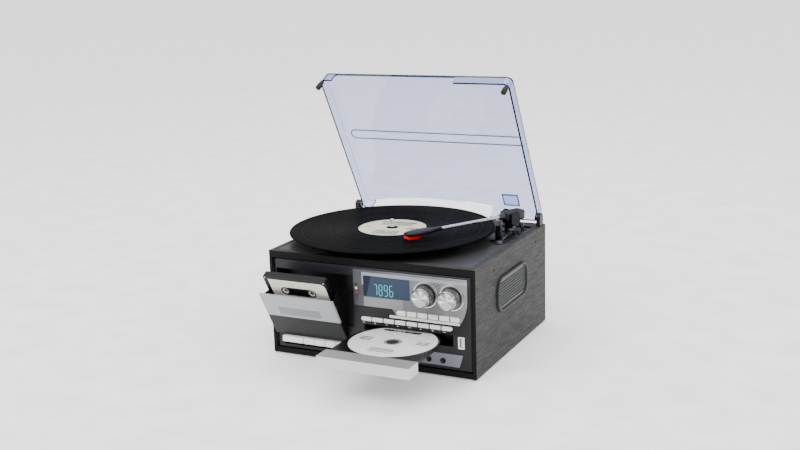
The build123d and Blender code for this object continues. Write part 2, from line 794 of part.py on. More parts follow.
def knob(x):
    base = panel_thickness + 0.3
    r = knob_radius
    tip = panel_thickness + knob_reach
    cap = turned([(0, base), (r - 0.4, base), (r, base + 0.8), (r - 0.5, tip - 2.2), (r - 1.3, tip - 0.7),
                  (r - 2.6, tip), (r - 3.6, tip - 0.4), (0, tip - 1.6)])
    shaft = rod("Z", -17, base + 2, knob_shaft_radius, (0, 0))
    shaft -= block((-1, 1), (-4, 4), (-18, -12))
    return Pos(x, face, knob_height) * Rot(90, 0, 0) * (cap + shaft)


board_behind = 16.0
fascia_half = inner_x - fascia_side_gap
board_posts = [(26.0, 138.0), (145.0, 138.0), (26.0, 76.0), (145.0, 76.0)]


def main_board():
    y = fascia_back + board_behind
    x = (knob_centres[0] - 67, fascia_half - 3)
    z = (board_posts[2][1] - 4, board_posts[0][1] + 3)
    board = block(x, (y, y + 1.6), z)
    for at in knob_centres:
        pot = soft_block((at - 8, at + 8), (y - 8, y), (knob_height - 8, knob_height + 8), 2)
        pot -= rod("Y", y - 9, y - 1, knob_shaft_radius + shaft_gap, (at, knob_height))
        board += pot
    for right, up in ((10, 16), (24, 56), (46, 12), (86, 14)):
        chip_x, chip_z = x[0] + right, z[0] + up
        board += block((chip_x, chip_x + 12), (y + 1.6, y + 5), (chip_z, chip_z + 10))
    return board


def fascia():
    x = (-fascia_half, fascia_half)
    z = (base_top + fascia_edge_gap, board_under - fascia_edge_gap)
    shell = block(x, (face, face + fascia_skirt), z)
    shell = chamfer(shell.faces().sort_by(Axis.Y)[0].edges(), 1.6, fascia_bevel)
    rim_y = (face + fascia_skirt - fascia_rim, face + fascia_skirt)
    shell += block((-inner_x + slide_gap, inner_x - slide_gap), rim_y, (base_top, board_under))
    shell -= block((x[0] + 2, x[1] - 2), (fascia_back, face + fascia_skirt + 1), (z[0] + 2, z[1] - 2))
    through = (face - 2, fascia_back + 1)
    shell -= block((bay_left, bay_right), through, (bay_bottom, bay_top))
    # A shallow recess goes on from the bay to the display panel.
    shell -= block((bay_right - 1, panel_left - 1), (face - 1, face + 1.4), (bay_bottom + 22, bay_top))
    slot_x = (tray_middle - slot_width / 2, tray_middle + slot_width / 2)
    shell -= soft_block(slot_x, through, (slot_bottom, slot_top), 1)
    keys_right = key_left + sum(key_widths) + 4 * key_gap
    keys_z = (key_bottom - 5.5, key_bottom + key_height + 0.8)
    shell -= block((key_left - 1.5, keys_right + 1.5), through, keys_z)
    shell -= soft_block((screen_left, screen_left + screen_width), through,
                        (screen_bottom, screen_bottom + screen_height), 1.5)
    for knob_x in knob_centres:
        shell -= rod("Y", through[0], through[1], 5, (knob_x, knob_height))
    for hole in button_holes(*through):
        shell -= hole
    shell -= soft_block((usb_x - usb_width / 2, usb_x + usb_width / 2), through,
                        (usb_z - usb_height / 2, usb_z + usb_height / 2), 1)
    for jx in jack_x:
        shell -= rod("Y", through[0], through[1], jack_barrel + fit_gap, (jx, jack_z))
    for post_x, post_z in board_posts:
        shell += rod("Y", fascia_back, fascia_back + board_behind, 2.6, (post_x, post_z))
    for pin_x in (bay_left, bay_right):
        shell -= rod("X", pin_x - 2, pin_x + 2, door_pin_radius + pin_gap, (door_axis_y, door_axis_z))
    return shell


def front_sockets():
    """The silver jack plate with its two jacks, and the upright USB port."""
    low, top = jack_plate_z
    outline = [(x, low) for x in jack_plate_bottom] + [(x, top) for x in reversed(jack_plate_top)]
    out = face - jack_plate_thickness
    plate = plate_y(outline, out, face)
    for x in jack_x:
        plate += rod("Y", out, fascia_back + jack_depth, jack_barrel, (x, jack_z))
    for x in jack_x:
        plate -= rod("Y", out - 1, out + jack_depth, jack_bore, (x, jack_z))
    w, h = usb_width / 2 - fit_gap, usb_height / 2 - fit_gap
    port = soft_block((usb_x - w, usb_x + w), (face - 0.8, fascia_back + 14), (usb_z - h, usb_z + h), 0.8)
    port += soft_block((usb_x - w - 1.2, usb_x + w + 1.2), (fascia_back, fascia_back + 2),
                       (usb_z - h - 1.2, usb_z + h + 1.2), 1)
    port -= block((usb_x - w + usb_wall, usb_x + w - usb_wall), (face - 2, fascia_back + 10),
                  (usb_z - h + usb_wall, usb_z + h - usb_wall))
    port += block((usb_x - 0.6, usb_x - 0.6 + usb_tongue), (face + 1, fascia_back + 12),
                  (usb_z - h + usb_wall + 1, usb_z + h - usb_wall - 1))
    return [plate, port]


def key_spans():
    spans, x = [], key_left
    for width in key_widths:
        spans.append((x, x + width))
        x += width + key_gap
    return spans


key_axis_y = fascia_back + key_axis_back
key_axis_z = key_bottom + key_height / 2


def key(index):
    x0, x1 = key_spans()[index]
    z0, z1 = key_bottom, key_bottom + key_height
    cap_front = face - key_reach
    cap = plate_x([(fascia_back + 6, z0), (cap_front + 1.5, z0), (cap_front, z0 + 2.5),
                   (cap_front + 0.8, z1 - 0.6), (cap_front + 2, z1), (fascia_back + 6, z1)], x0, x1)
    middle = (x0 + x1) / 2
    arm = block((middle - 5, middle + 5), (fascia_back + 6, key_axis_y), (z0 + 2, z1 - 2))
    hub = rod("X", middle - 5, middle + 5, 4, (key_axis_y, key_axis_z))
    whole = cap + arm + hub
    return whole - rod("X", middle - 6, middle + 6, key_shaft_radius + pin_gap, (key_axis_y, key_axis_z))


def hub_places(drop=0.0):
    """Where the cassette's hubs are: raised in the open door, or lowered by the drop in the shut one."""
    middle = cassette_left() + cassette_width / 2
    z = door_axis_z + cassette_top_open - cassette_height / 2 + hub_above_middle - drop
    return [(middle - hub_spacing / 2, z), (middle + hub_spacing / 2, z)]


def cassette_left():
    return (bay_left + bay_right) / 2 - cassette_width / 2 - cassette_side


def cassette_well():
    x = (bay_left + 0.5, bay_right - 0.5)
    z = (bay_bottom, bay_top + 0.5)
    y = (fascia_back, fascia_back + bay_depth)
    w = well_wall
    shell = block((x[0] - w, x[1] + w), (y[0], y[1] + w), (z[0] - w, z[1] + w))
    shell -= block(x, (y[0] - 1, y[1]), z)
    for spot in hub_places(cassette_drop):
        post = rod("Y", y[1] - 9, y[1] + 1, 2.4, spot)
        for i in range(3):
            fin = block((-0.6, 0.6), (y[1] - 8, y[1] + 1), (0, 3.9))
            post += Pos(spot[0], 0, spot[1]) * Rot(0, 120 * i, 0) * fin
        shell += post
    head_x = cassette_left() + cassette_width / 2
    # The tape head and the pinch roller wait just under the lowered cassette.
    under = door_axis_z + cassette_top_open - cassette_drop - cassette_height - fit_gap - lifter_floor - 0.8
    shell += soft_block((head_x - 8, head_x + 8), (y[1] - 8.5, y[1] + 1), (under - 8, under), 1.5)
    shell += rod("Y", y[1] - 8.5, y[1] + 1, 4.2, (head_x + 20, under - 4.4))
    # The transport block behind the well, with its flywheel.
    shell += block((x[0] + 8, x[1] - 8), (y[1] + w, y[1] + w + 12), (z[0] + 13, z[1] - 7))
    shell += rod("Y", y[1] + w + 12, y[1] + w + 17, 22, (head_x + 14, (z[0] + z[1]) / 2 + 2))
    # The shaft that the piano keys turn on, between two brackets under the well.
    spans = key_spans()
    left, right = spans[0][0] - 3.5, spans[-1][1] + 1.2
    for low in (left, right):
        shell += block((low, low + 2), (key_axis_y - 5, key_axis_y + 5), (key_axis_z - 5, z[0] + 15))
    shell += rod("X", left, right + 2, key_shaft_radius, (key_axis_y, key_axis_z))
    shell += block((left, right + 2), (key_axis_y - 5, key_axis_y + 5), (z[0] - w, z[0] + 15))
    return shell


def door_pose(shape):
    return turn(shape, door_open, door_axis_y, door_axis_z)


door_foot = door_axis_z + 0.4
cheek_x = [(bay_left + 0.9, bay_left + 0.9 + holder_wall), (bay_right - 0.9 - holder_wall, bay_right - 0.9)]
holder_reach = door_face + cassette_set_back + cassette_thickness + 1.6


def cassette_door():
    y = (door_face, door_face + door_thickness)
    seam = door_axis_z + door_window_from
    panel = block((door_left, door_right), y, (door_foot, seam))
    panel = chamfer(panel.faces().sort_by(Axis.Y)[0].edges().filter_by(Axis.Z), 1)
    top = door_axis_z + door_length
    reach = holder_reach
    door = panel
    for x in cheek_x:
        edge = [(y[1], door_foot), (y[1], top - 1), (reach, top - 10), (reach + 2, door_axis_z + 30),
                (door_axis_y + 4, door_axis_z - 1), (door_axis_y, door_axis_z - 1)]
        cheek = plate_x(edge, x[0], x[1])
        cheek += block(x, (y[0] + 1.5, y[1]), (door_foot, seam))
        door += cheek
    # A bar low between the cheeks keeps them apart.
    door += rod("X", cheek_x[0][1] - 0.5, cheek_x[1][0] + 0.5, 2, (y[1] + 4, door_axis_z + 6))
    for pin_x in ((bay_left - 1.6, cheek_x[0][1]), (cheek_x[1][0], bay_right + 1.6)):
        door += rod("X", pin_x[0], pin_x[1], door_pin_radius, (door_axis_y, door_axis_z))
    return door_pose(door)


def door_window():
    seam = door_axis_z + door_window_from
    y = (door_face, door_face + door_thickness)
    pane = block((door_left, door_right), y, (seam, door_axis_z + door_length))
    pane = chamfer(pane.faces().sort_by(Axis.Y)[0].edges().filter_by(Axis.Z), 1)
    return door_pose(pane)


def cassette_lifter():
    """The carrier that the cassette stands in, between the door's cheeks. It sinks as the door shuts."""
    pocket = door_axis_z + cassette_top_open - cassette_height
    low, floor = pocket - fit_gap - lifter_floor, pocket - fit_gap
    x = (cheek_x[0][1] + slide_gap, cheek_x[1][0] - slide_gap)
    lip = door_face + cassette_set_back - cassette_swell - fit_gap
    carrier = block(x, (lip - 1.5, holder_reach), (low, floor))
    carrier += block(x, (holder_reach - 1.2, holder_reach), (low, pocket + 6))
    carrier += block(x, (lip - 1.5, lip), (low, pocket + 3))
    for side_x in ((x[0], x[0] + lifter_runner), (x[1] - lifter_runner, x[1])):
        carrier += block(side_x, (lip + 2, holder_reach - 2), (low, low + lifter_height))
    middle = cassette_left() + cassette_width / 2
    for at, half in ((middle, 9.5), (middle + 20, 5.5)):
        window_y = (lip + 3, holder_reach - 2.5)
        carrier -= soft_block((at - half, at + half), window_y, (low - 1, floor + 1), 1.5, "Z")
    return door_pose(carrier)


def cassette():
    x0 = cassette_left()
    y = (door_face + cassette_set_back, door_face + cassette_set_back + cassette_thickness)
    z1 = door_axis_z + cassette_top_open
    z0 = z1 - cassette_height
    shell = soft_block((x0, x0 + cassette_width), y, (z0, z1), 3)
    middle = x0 + cassette_width / 2
    swell = [(middle - 34, z0), (middle + 34, z0), (middle + 32, z0 + 16.4), (middle - 32, z0 + 16.4)]
    swell = plate_y(swell, y[0] - cassette_swell, y[0])
    shell += swell
    for spot in hub_places():
        shell -= rod("Y", y[0] - 1, y[1] + 1, 5, spot)
    hub_z = hub_places()[0][1]
    shell -= soft_block((middle - 16, middle + 16), (y[0] - 1, y[0] + 1), (hub_z - 5, hub_z + 5), 2)
    return door_pose(shell)


def cd_tray():
    """A plate as wide as the disc in front, round behind it, with a narrower tongue for the drive."""
    y = (tray_rest + tray_front_depth, tray_rest + tray_length)
    spot = (tray_middle, disc_y)
    z = (tray_low, tray_top)
    tray = block((tray_middle - tray_half, tray_middle + tray_half), (y[0], disc_y), z)
    tray += rod("Z", *z, tray_half, spot)
    through = (tray_low - 1, tray_top + 1)
    tray -= block((tray_middle - tray_half, tray_middle + tray_half), (y[0] - 5, y[0]), through)
    tongue = soft_block((tray_middle - tongue_half, tray_middle + tongue_half), (disc_y, y[1]), z, 2, "Z")
    tray += tongue
    tray -= rod("Z", tray_top - 2.2, tray_top + 1, disc_radius + 1, spot)
    tray -= rod("Z", tray_top - 3.2, tray_top + 1, 41, spot)
    tray -= rod("Z", *through, 17, spot)
    tray -= soft_block((tray_middle - 13, tray_middle + 13), (disc_y, disc_y + 38), through, 4, "Z")
    # Two ribs under the tongue run between the drive's ledges.
    for side in (-1, 1):
        edge = tray_middle + side * rib_outside
        x = sorted((edge, edge - side * tongue_rib))
        tray += block(x, (disc_y + 20, y[1] - 1), (tray_low - tongue_rib_depth, tray_low + 0.6))
    return tray


rib_outside = tongue_half - 4.0


def tray_front():
    half = slot_width / 2 - 1
    z = (slot_bottom + 0.9, slot_top - 0.8)
    y = (tray_rest, tray_rest + tray_front_depth)
    bezel = block((tray_middle - half, tray_middle + half), y, z)
    return fillet(bezel.faces().sort_by(Axis.Y)[0].edges(), 1.0)


def compact_disc():
    low = tray_top - 2.2 + 0.1
    high = low + disc_thickness
    return turned([(7.5, low), (disc_radius, low), (disc_radius, high), (22, high), (22, high - 0.15),
                   (20.5, high - 0.15), (20.5, high), (7.5, high)], tray_middle, disc_y)


def cd_drive():
    """The drive's frame: a channel with two ledges that the tray slides on, and the disc hub."""
    w = drive_wall
    x = (tray_middle - slot_width / 2 + 0.2, tray_middle + slot_width / 2 - 0.2)
    y = (fascia_back, face + tray_length + 6)
    z = (slot_bottom - 2, slot_top + 1.5)
    frame = block((x[0] - w, x[1] + w), y, (z[0] - w, z[1] + w))
    frame -= block(x, (y[0] - 1, y[1] - w), z)
    start = fascia_back + tray_front_depth
    for side in (-1, 1):
        inner = tray_middle + side * (rib_outside + slide_gap)
        outer = tray_middle + side * (slot_width / 2 + 0.5)
        frame += block(sorted((inner, outer)), (start, y[1] - w), (z[0] - 0.5, tray_low - slide_gap))
        guide = tray_middle + side * (tray_half + slide_gap)
        frame += block(sorted((guide, outer)), (start, y[1] - w), (z[0], z[1] - 2))
    frame += rod("Z", z[0] - 1, tray_low - 0.6, 12, (tray_middle, disc_closed_y))
    below = (z[0] - 8, z[0] - w + 0.5)
    frame += block((tray_middle - 20, tray_middle + 20), (disc_closed_y - 20, disc_closed_y + 45), below)
    frame += rod("Z", z[1] + w - 0.5, z[1] + w + 3, 16, (tray_middle, disc_closed_y))
    # Feet down to the cabinet's base.
    for fx in (x[0] + 6, x[1] - 6):
        for fy in (y[0] + 20, y[1] - 20):
            frame += rod("Z", base_top, z[0], 4, (fx, fy))
    return frame


def speaker_grilles():
    pieces = []
    inset = speaker_rim
    for side in (-1, 1):
        out = side * half_width
        lip = sorted((out, out + side * 1.6))
        body = sorted((out - side * (side_board - 1), out + side * 0.2))
        grille = speaker_frame(0, *lip) - speaker_frame(inset, lip[0] - 1, lip[1] + 1)
        grille += speaker_frame(inset + fit_gap, *body) - speaker_frame(inset + 2, body[0] - 1, body[1] + 1)
        ring = speaker_frame(inset - 0.5, *sorted((out, out + side * 0.8)))
        grille += ring - speaker_frame(inset + 2, *sorted((out - side, out + side * 2)))
        mesh_x = sorted((out - side * 0.4, out + side * 0.8))
        mesh = speaker_frame(inset + 1.5, *mesh_x)
        cutters = []
        y_dir, x_dir = faces["X"]
        for place in HexLocations(grille_pitch / 2, 13, 8):
            offset = place.position
            y, z = speaker_y + offset.X, speaker_height + offset.Y
            inside_y = abs(offset.X) < speaker_length / 2 - inset - grille_hole - 2.6
            inside_z = abs(offset.Y) < speaker_tall / 2 - inset - grille_hole - 2.6
            corner = math.hypot(max(abs(offset.X) - 36, 0), max(abs(offset.Y) - 9, 0))
            if inside_y and inside_z and corner < 8:
                plane = Plane(origin=(mesh_x[0] - 1, y, z), x_dir=y_dir, z_dir=x_dir)
                cutters.append(extrude(plane * RegularPolygon(grille_hole, 6), 4))
        mesh -= cutters
        pieces.append(grille + mesh)
    return pieces


def speaker_drivers():
    pieces = []
    for side in (-1, 1):
        wall = side * inner_x
        basket = speaker_frame(-1, *sorted((wall, wall - side * 2)))
        basket -= speaker_frame(7, *sorted((wall + side, wall - side * 0.8)))
        x_dir, z_dir = faces["X"]
        plane = Plane(origin=(wall - side * 2, speaker_y, speaker_height), x_dir=x_dir, z_dir=(-side, 0, 0))
        rear = Plane(origin=(wall - side * 18, speaker_y, speaker_height), x_dir=x_dir, z_dir=(-side, 0, 0))
        basket += loft([plane * RectangleRounded(88, 36, 12), rear * RectangleRounded(34, 28, 10)])
        basket += rod("X", *sorted((wall - side * 18, wall - side * 29)), 18, (speaker_y, speaker_height))
        pieces.append(basket)
    return pieces


def rubber_feet():
    """A foot near each corner, and one under the middle that keeps the thin base from sagging."""
    x, y = half_width - foot_inset, cabinet_depth / 2 - foot_inset
    spots = [(0, 0)] + [(sx * x, sy * y) for sx in (-1, 1) for sy in (-1, 1)]
    r = foot_radius
    outline = [(0, 0), (r - 1, 0), (r, 0.8), (r, foot_height), (0, foot_height)]
    return [turned(outline, *spot) for spot in spots]


parts = {
    "side_panels": [side_panel(-1), side_panel(1)],
    "bottom_panel": bottom_panel(),
    "back_panel": [back_panel(), *rear_sockets()],
    "top_board": top_board(),
    "deck_plate": deck_plate(),
    "fascia": fascia(),
    "cassette_well": cassette_well(),
    "display_panel": [display_panel(), *front_trims()],
    "lcd_screen": lcd_screen(),
    "front_sockets": front_sockets(),
    "speaker_grilles": speaker_grilles(),
    "speaker_drivers": speaker_drivers(),
    "rubber_feet": rubber_feet(),
    "hinge_posts": hinge_posts(),
    "turntable_motor": turntable_motor(),
    "center_spindle": center_spindle(),
    "tonearm_base": tonearm_base(),
    "cd_drive": cd_drive(),
    "main_board": main_board(),
    "drive_belt": drive_belt(),
    "platter": platter(),
    "record": record(),
    "motor_pulley": motor_pulley(),
    "tonearm_yoke": tonearm_yoke(),
    "tonearm_tube": tonearm_tube(),
    "headshell": headshell(),
    "cartridge": cartridge(),
    "cue_lever": cue_lever(),
    "speed_switch": switch_lever(switch_spots[0]),
    "auto_stop_switch": switch_lever(switch_spots[1]),
    "lid": lid(),
    "lid_bumpers": lid_bumpers(),
    "cassette_door": cassette_door(),
    "door_window": door_window(),
    "cassette_lifter": cassette_lifter(),
    "cassette": cassette(),
    "volume_knob": knob(knob_centres[0]),
    "tuning_knob": knob(knob_centres[1]),
    "cd_tray": cd_tray(),
    "tray_front": tray_front(),
    "compact_disc": compact_disc(),
}
for index in range(len(key_widths)):
    parts[f"piano_key_{index + 1}"] = key(index)
for row in rows:
    for index in range(rows[row][-1]):
        parts[f"{row}_button_{index + 1}"] = button(row, index)

os.makedirs("parts", exist_ok=True)
for name, shape in parts.items():
    if isinstance(shape, list):
        shape = Compound(children=shape)
    export_step(shape, f"parts/{name}.step")
print(len(parts), "nodes")
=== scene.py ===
import bmesh
import bpy
import math
from mathutils import Matrix, Vector


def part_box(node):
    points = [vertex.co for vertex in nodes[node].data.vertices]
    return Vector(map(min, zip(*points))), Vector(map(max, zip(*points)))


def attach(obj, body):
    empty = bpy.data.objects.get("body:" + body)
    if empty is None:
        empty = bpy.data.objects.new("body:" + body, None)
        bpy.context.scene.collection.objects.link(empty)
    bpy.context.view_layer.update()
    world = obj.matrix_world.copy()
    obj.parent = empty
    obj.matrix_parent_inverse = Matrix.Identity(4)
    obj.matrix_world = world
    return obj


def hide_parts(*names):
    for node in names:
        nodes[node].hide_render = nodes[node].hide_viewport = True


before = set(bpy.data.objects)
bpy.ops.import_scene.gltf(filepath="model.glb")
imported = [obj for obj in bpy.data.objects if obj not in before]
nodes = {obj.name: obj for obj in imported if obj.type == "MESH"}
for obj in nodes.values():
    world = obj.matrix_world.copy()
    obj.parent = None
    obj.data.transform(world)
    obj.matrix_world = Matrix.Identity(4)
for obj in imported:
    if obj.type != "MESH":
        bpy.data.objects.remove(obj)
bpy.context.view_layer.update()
mm = 0.001
quarter = math.pi / 2
softEdge = 0.0002
mouldSwing = 0.12


def rgb(red, green, blue):
    channels = []
    for value in (red, green, blue):
        value /= 255
        channels.append(value / 12.92 if value <= 0.04045 else ((value + 0.055) / 1.055) ** 2.4)
    return (*channels, 1.0)


def assign(socket, value):
    if isinstance(value, bpy.types.NodeSocket):
        socket.id_data.links.new(value, socket)
    else:
        socket.default_value = value


def place(tree, kind, inputs=None, **settings):
    made = tree.nodes.new("ShaderNode" + kind)
    for name, value in settings.items():
        setattr(made, name, value)
    for key, value in (inputs or {}).items():
        assign(made.inputs[key], value)
    return made


def follow(kind, inputs, **settings):
    # A node in the tree of the first socket among its inputs.
    tree = next(value.id_data for value in inputs.values() if isinstance(value, bpy.types.NodeSocket))
    return place(tree, kind, inputs, **settings)


def feed(target, **values):
    # Sets a node's inputs, or links into them. An underscore stands for a space in an input's name.
    for key, value in values.items():
        assign(target.inputs[key.replace("_", " ")], value)


def mathNode(operation, *values):
    return follow("Math", dict(enumerate(values)), operation=operation).outputs[0]


def product(first, *others):
    for value in others:
        first = mathNode("MULTIPLY", first, value)
    return first


def largest(first, *others):
    for value in others:
        first = mathNode("MAXIMUM", first, value)
    return first


def fit(value, scale, offset):
    return mathNode("MULTIPLY_ADD", value, scale, offset)


def minus(first, second):
    return mathNode("SUBTRACT", first, second)


def over(value, limit):
    return mathNode("GREATER_THAN", value, limit)


def under(value, limit):
    return mathNode("LESS_THAN", value, limit)


def vectorNode(operation, *values):
    made = follow("VectorMath", dict(enumerate(values)), operation=operation)
    return made.outputs["Value" if operation in ("LENGTH", "DOT_PRODUCT") else "Vector"]


def axes(vector):
    return follow("SeparateXYZ", {0: vector}).outputs


def point(x, y):
    return follow("CombineXYZ", {0: x, 1: y}).outputs[0]


def mapped(vector, **ways):
    return follow("Mapping", {"Vector": vector, **ways}).outputs[0]


def noise(vector, scale, detail=2.0, **more):
    return follow("TexNoise", {"Vector": vector, "Scale": scale, "Detail": detail, **more}).outputs["Fac"]


def lineNoise(value, detail=2.0):
    # Noise along one number.
    made = follow("TexNoise", {"W": value, "Scale": 1.0, "Detail": detail}, noise_dimensions="1D")
    return made.outputs["Fac"]


def ramp(value, stops):
    made = follow("ValToRGB", {"Fac": value})
    while len(made.color_ramp.elements) < len(stops):
        made.color_ramp.elements.new(0.5)
    for element, (position, colour) in zip(made.color_ramp.elements, stops):
        element.position = position
        element.color = colour if isinstance(colour, tuple) else (colour, colour, colour, 1)
    return made.outputs["Color"]


def mixColour(mask, first, second):
    return follow("Mix", {0: mask, 6: first, 7: second}, data_type="RGBA").outputs[2]


def between(value, low, high, soft=softEdge):
    rise, fall = (follow("Clamp", {"Value": product(side, 1 / soft)}).outputs[0]
                  for side in (minus(value, low), minus(high, value)))
    return product(rise, fall)


def within(radius, limit, soft=softEdge):
    return between(radius, -1, limit, soft)


def patch(across, up, span, rise, soft=softEdge):
    # A soft-edged rectangle in millimetres.
    wide = between(across, span[0] * mm, span[1] * mm, soft)
    tall = between(up, rise[0] * mm, rise[1] * mm, soft)
    return product(wide, tall)


def paint(colour, across, up, area, tint):
    return mixColour(patch(across, up, *area), colour, tint)


def stripes(value, pitch):
    # A wave as long as the pitch.
    return mathNode("SINE", product(value, 2 * math.pi / pitch))


def newGroup(name, inputs, outputs):
    # inputs: label to (kind, value). outputs: label to kind.
    tree = bpy.data.node_groups.new(name, "ShaderNodeTree")
    for label, (kind, value) in inputs.items():
        socket = tree.interface.new_socket(label, in_out="INPUT", socket_type="NodeSocket" + kind)
        if value is not None:
            socket.default_value = value
    for label, kind in outputs.items():
        tree.interface.new_socket(label, in_out="OUTPUT", socket_type="NodeSocket" + kind)
    return tree, tree.nodes.new("NodeGroupInput").outputs, tree.nodes.new("NodeGroupOutput")


def makeWood():
    tree, source, sink = newGroup(
        "woodGrain", {"Vector": ("Vector", None), "Dark": ("Color", None), "Light": ("Color", None)},
        {"Color": "Color", "Height": "Float", "Rough": "Float"})
    # The grain runs along X of the vector that comes in.
    bandScale, poreScale, cloudScale = (38, 300, 300), (260, 1100, 1100), (4, 40, 40)
    band = noise(mapped(source["Vector"], Scale=bandScale), 1.0, 7.0, Roughness=0.62)
    band = ramp(band, [(0.33, 0.0), (0.66, 1.0)])
    pores = noise(mapped(source["Vector"], Scale=poreScale), 1.0, 3.0, Roughness=0.6)
    pores = ramp(pores, [(0.4, 0.0), (0.6, 1.0)])
    cloud = noise(mapped(source["Vector"], Scale=cloudScale), 1.0, 3.0, Distortion=0.6)
    both = fit(product(band, pores), 0.75, product(cloud, 0.25))
    colour = mixColour(both, source["Dark"], source["Light"])
    feed(sink, Color=colour, Height=both, Rough=fit(both, -0.12, 0.62))
    return tree


def makeMould():
    tree, source, sink = newGroup(
        "mouldedPlastic", {"Vector": ("Vector", None), "Color": ("Color", None), "Grain": ("Float", 900.0)},
        {"Color": "Color", "Height": "Float", "Mask": "Float"})
    broadScale = 18.0
    broad = noise(source["Vector"], broadScale, 3.0)
    shade = follow("HueSaturation", {"Value": fit(broad, 0.35, 0.82), "Color": source["Color"]})
    fine = noise(source["Vector"], source["Grain"])
    feed(sink, Color=shade.outputs[0], Height=fine, Mask=broad)
    return tree


def makePolar():
    tree, source, sink = newGroup("polar", {"Vector": ("Vector", None), "Centre": ("Vector", None)},
                                  {"Radius": "Float", "Angle": "Float"})
    # Radius and angle in the vector's own XY plane.
    x, y, _ = axes(vectorNode("SUBTRACT", source["Vector"], source["Centre"]))
    radius = vectorNode("LENGTH", point(x, y))
    feed(sink, Radius=radius, Angle=mathNode("ARCTAN2", y, x))
    return tree


def makeDust():
    tree, source, sink = newGroup("dust", {"Vector": ("Vector", None), "Amount": ("Float", 0.2)},
                                  {"Mask": "Float"})
    # Fine specks, thicker in patches, only where the surface looks up.
    speckScale, patchScale = 2400.0, 22.0
    specks = ramp(noise(source["Vector"], speckScale, 1.0), [(0.62, 0.0), (0.74, 1.0)])
    patches = noise(source["Vector"], patchScale, 3.0)
    upward = axes(place(tree, "NewGeometry").outputs["Normal"])[2]
    upward = follow("Clamp", {"Value": upward}).outputs[0]
    feed(sink, Mask=product(specks, patches, upward, source["Amount"]))
    return tree


def makeRuled():
    tree, source, sink = newGroup(
        "ruledLines", {"Across": ("Float", 0.0), "Up": ("Float", 0.0), "Pitch": ("Float", 0.003),
                       "Thick": ("Float", 0.35), "Gaps": ("Float", 0.45)}, {"Mask": "Float"})
    # Thin rules a pitch apart, broken here and there like a worn print.
    row = mathNode("DIVIDE", source["Up"], source["Pitch"])
    inRow = under(mathNode("FRACT", row), source["Thick"])
    wordScale, rowShift = 420, 7.3
    spot = point(product(source["Across"], wordScale), product(mathNode("FLOOR", row), rowShift))
    inked = over(noise(spot, 1.0, 1.0), source["Gaps"])
    feed(sink, Mask=product(inRow, inked))
    return tree


woodGroup, mouldGroup, polarGroup = makeWood(), makeMould(), makePolar()
dustGroup, ruledGroup = makeDust(), makeRuled()


def startMaterial(name):
    made = bpy.data.materials.new(name)
    made.use_nodes = True
    tree = made.node_tree
    return made, tree.nodes["Principled BSDF"], place(tree, "TexCoord").outputs["Object"]


def useGroup(group, **inputs):
    return follow("Group", inputs, node_tree=group).outputs


def radiusFrom(vector, centre):
    return useGroup(polarGroup, Vector=vector, Centre=centre)["Radius"]


def dusted(coords, colour, amount, dust):
    film = useGroup(dustGroup, Vector=coords, Amount=amount)["Mask"]
    return mixColour(film, colour, dust), film


def bumpInto(shader, height, strength, distance=0.0002):
    made = follow("Bump", {"Height": height, "Strength": strength, "Distance": distance})
    feed(shader, Normal=made.outputs[0])


def moulded(shader, coords, colour, grain, rough, bump, swing=mouldSwing, dusty=0.0, **values):
    # The shared plastic effect. Its roughness lies between rough and rough + swing.
    mould = useGroup(mouldGroup, Vector=coords, Color=colour, Grain=grain)
    shown, roughness = mould["Color"], fit(mould["Mask"], swing, rough)
    if dusty:
        shown, film = dusted(coords, shown, dusty, rgb(150, 149, 146))
        roughness = fit(film, 0.3, roughness)
    feed(shader, Base_Color=shown, Roughness=roughness, **values)
    bumpInto(shader, mould["Height"], bump)


def streaked(shader, axis):
    # Highlights drawn out along the turning marks round an axis.
    tangent = place(shader.id_data, "Tangent", direction_type="RADIAL", axis=axis)
    feed(shader, Anisotropic=0.8, Anisotropic_Rotation=0.25, Tangent=tangent.outputs[0])


def plastic(name, colour, rough, grain=900.0, bump=0.15, specular=0.5, coat=0.0, metal=0.0, dusty=0.0):
    made, shader, coords = startMaterial(name)
    moulded(shader, coords, colour, grain, rough - mouldSwing / 2, bump, dusty=dusty,
            Specular_IOR_Level=specular, Coat_Weight=coat, Metallic=metal)
    return made


def wood(name, dark, light, turned=0.0, bump=0.5, dusty=0.0, frontEdge=None):
    made, shader, coords = startMaterial(name)
    along = mapped(coords, Rotation=(0, 0, turned))
    grain = useGroup(woodGroup, Vector=along, Dark=dark, Light=light)
    shown = grain["Color"]
    if dusty:
        shown, _ = dusted(coords, shown, dusty, rgb(170, 168, 165))
    if frontEdge:
        edge = under(axes(coords)[1], frontEdge * mm)
        shown = mixColour(edge, shown, rgb(12, 12, 13))
    feed(shader, Base_Color=shown, Roughness=grain["Rough"], Specular_IOR_Level=0.15)
    bumpInto(shader, grain["Height"], bump, 0.0003)
    return made


def dress(material, *names):
    for name in names:
        slots = nodes[name].material_slots
        if not slots:
            nodes[name].data.materials.append(material)
        for one in slots:
            one.material = material


def keep(name, bm, material, body, replaced=(), angle=0.6, origin=(0, 0, 0)):
    bmesh.ops.recalc_face_normals(bm, faces=bm.faces)
    for edge in bm.edges:
        edge.smooth = edge.calc_face_angle(0.0) < angle
    for face in bm.faces:
        face.smooth = True
    mesh = bpy.data.meshes.new(name)
    bm.to_mesh(mesh)
    bm.free()
    mesh.materials.append(material)
    piece = bpy.data.objects.new(name, mesh)
    piece.location = origin
    bpy.context.scene.collection.objects.link(piece)
    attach(piece, body)
    if replaced:
        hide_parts(*replaced)
    return piece


def joinRings(bm, rings, closed=False):
    pairs = list(zip(rings, rings[1:]))
    if closed:
        pairs.append((rings[-1], rings[0]))
    for low, high in pairs:
        for index in range(len(low)):
            after = (index + 1) % len(low)
            bm.faces.new((low[index], low[after], high[after], high[index]))


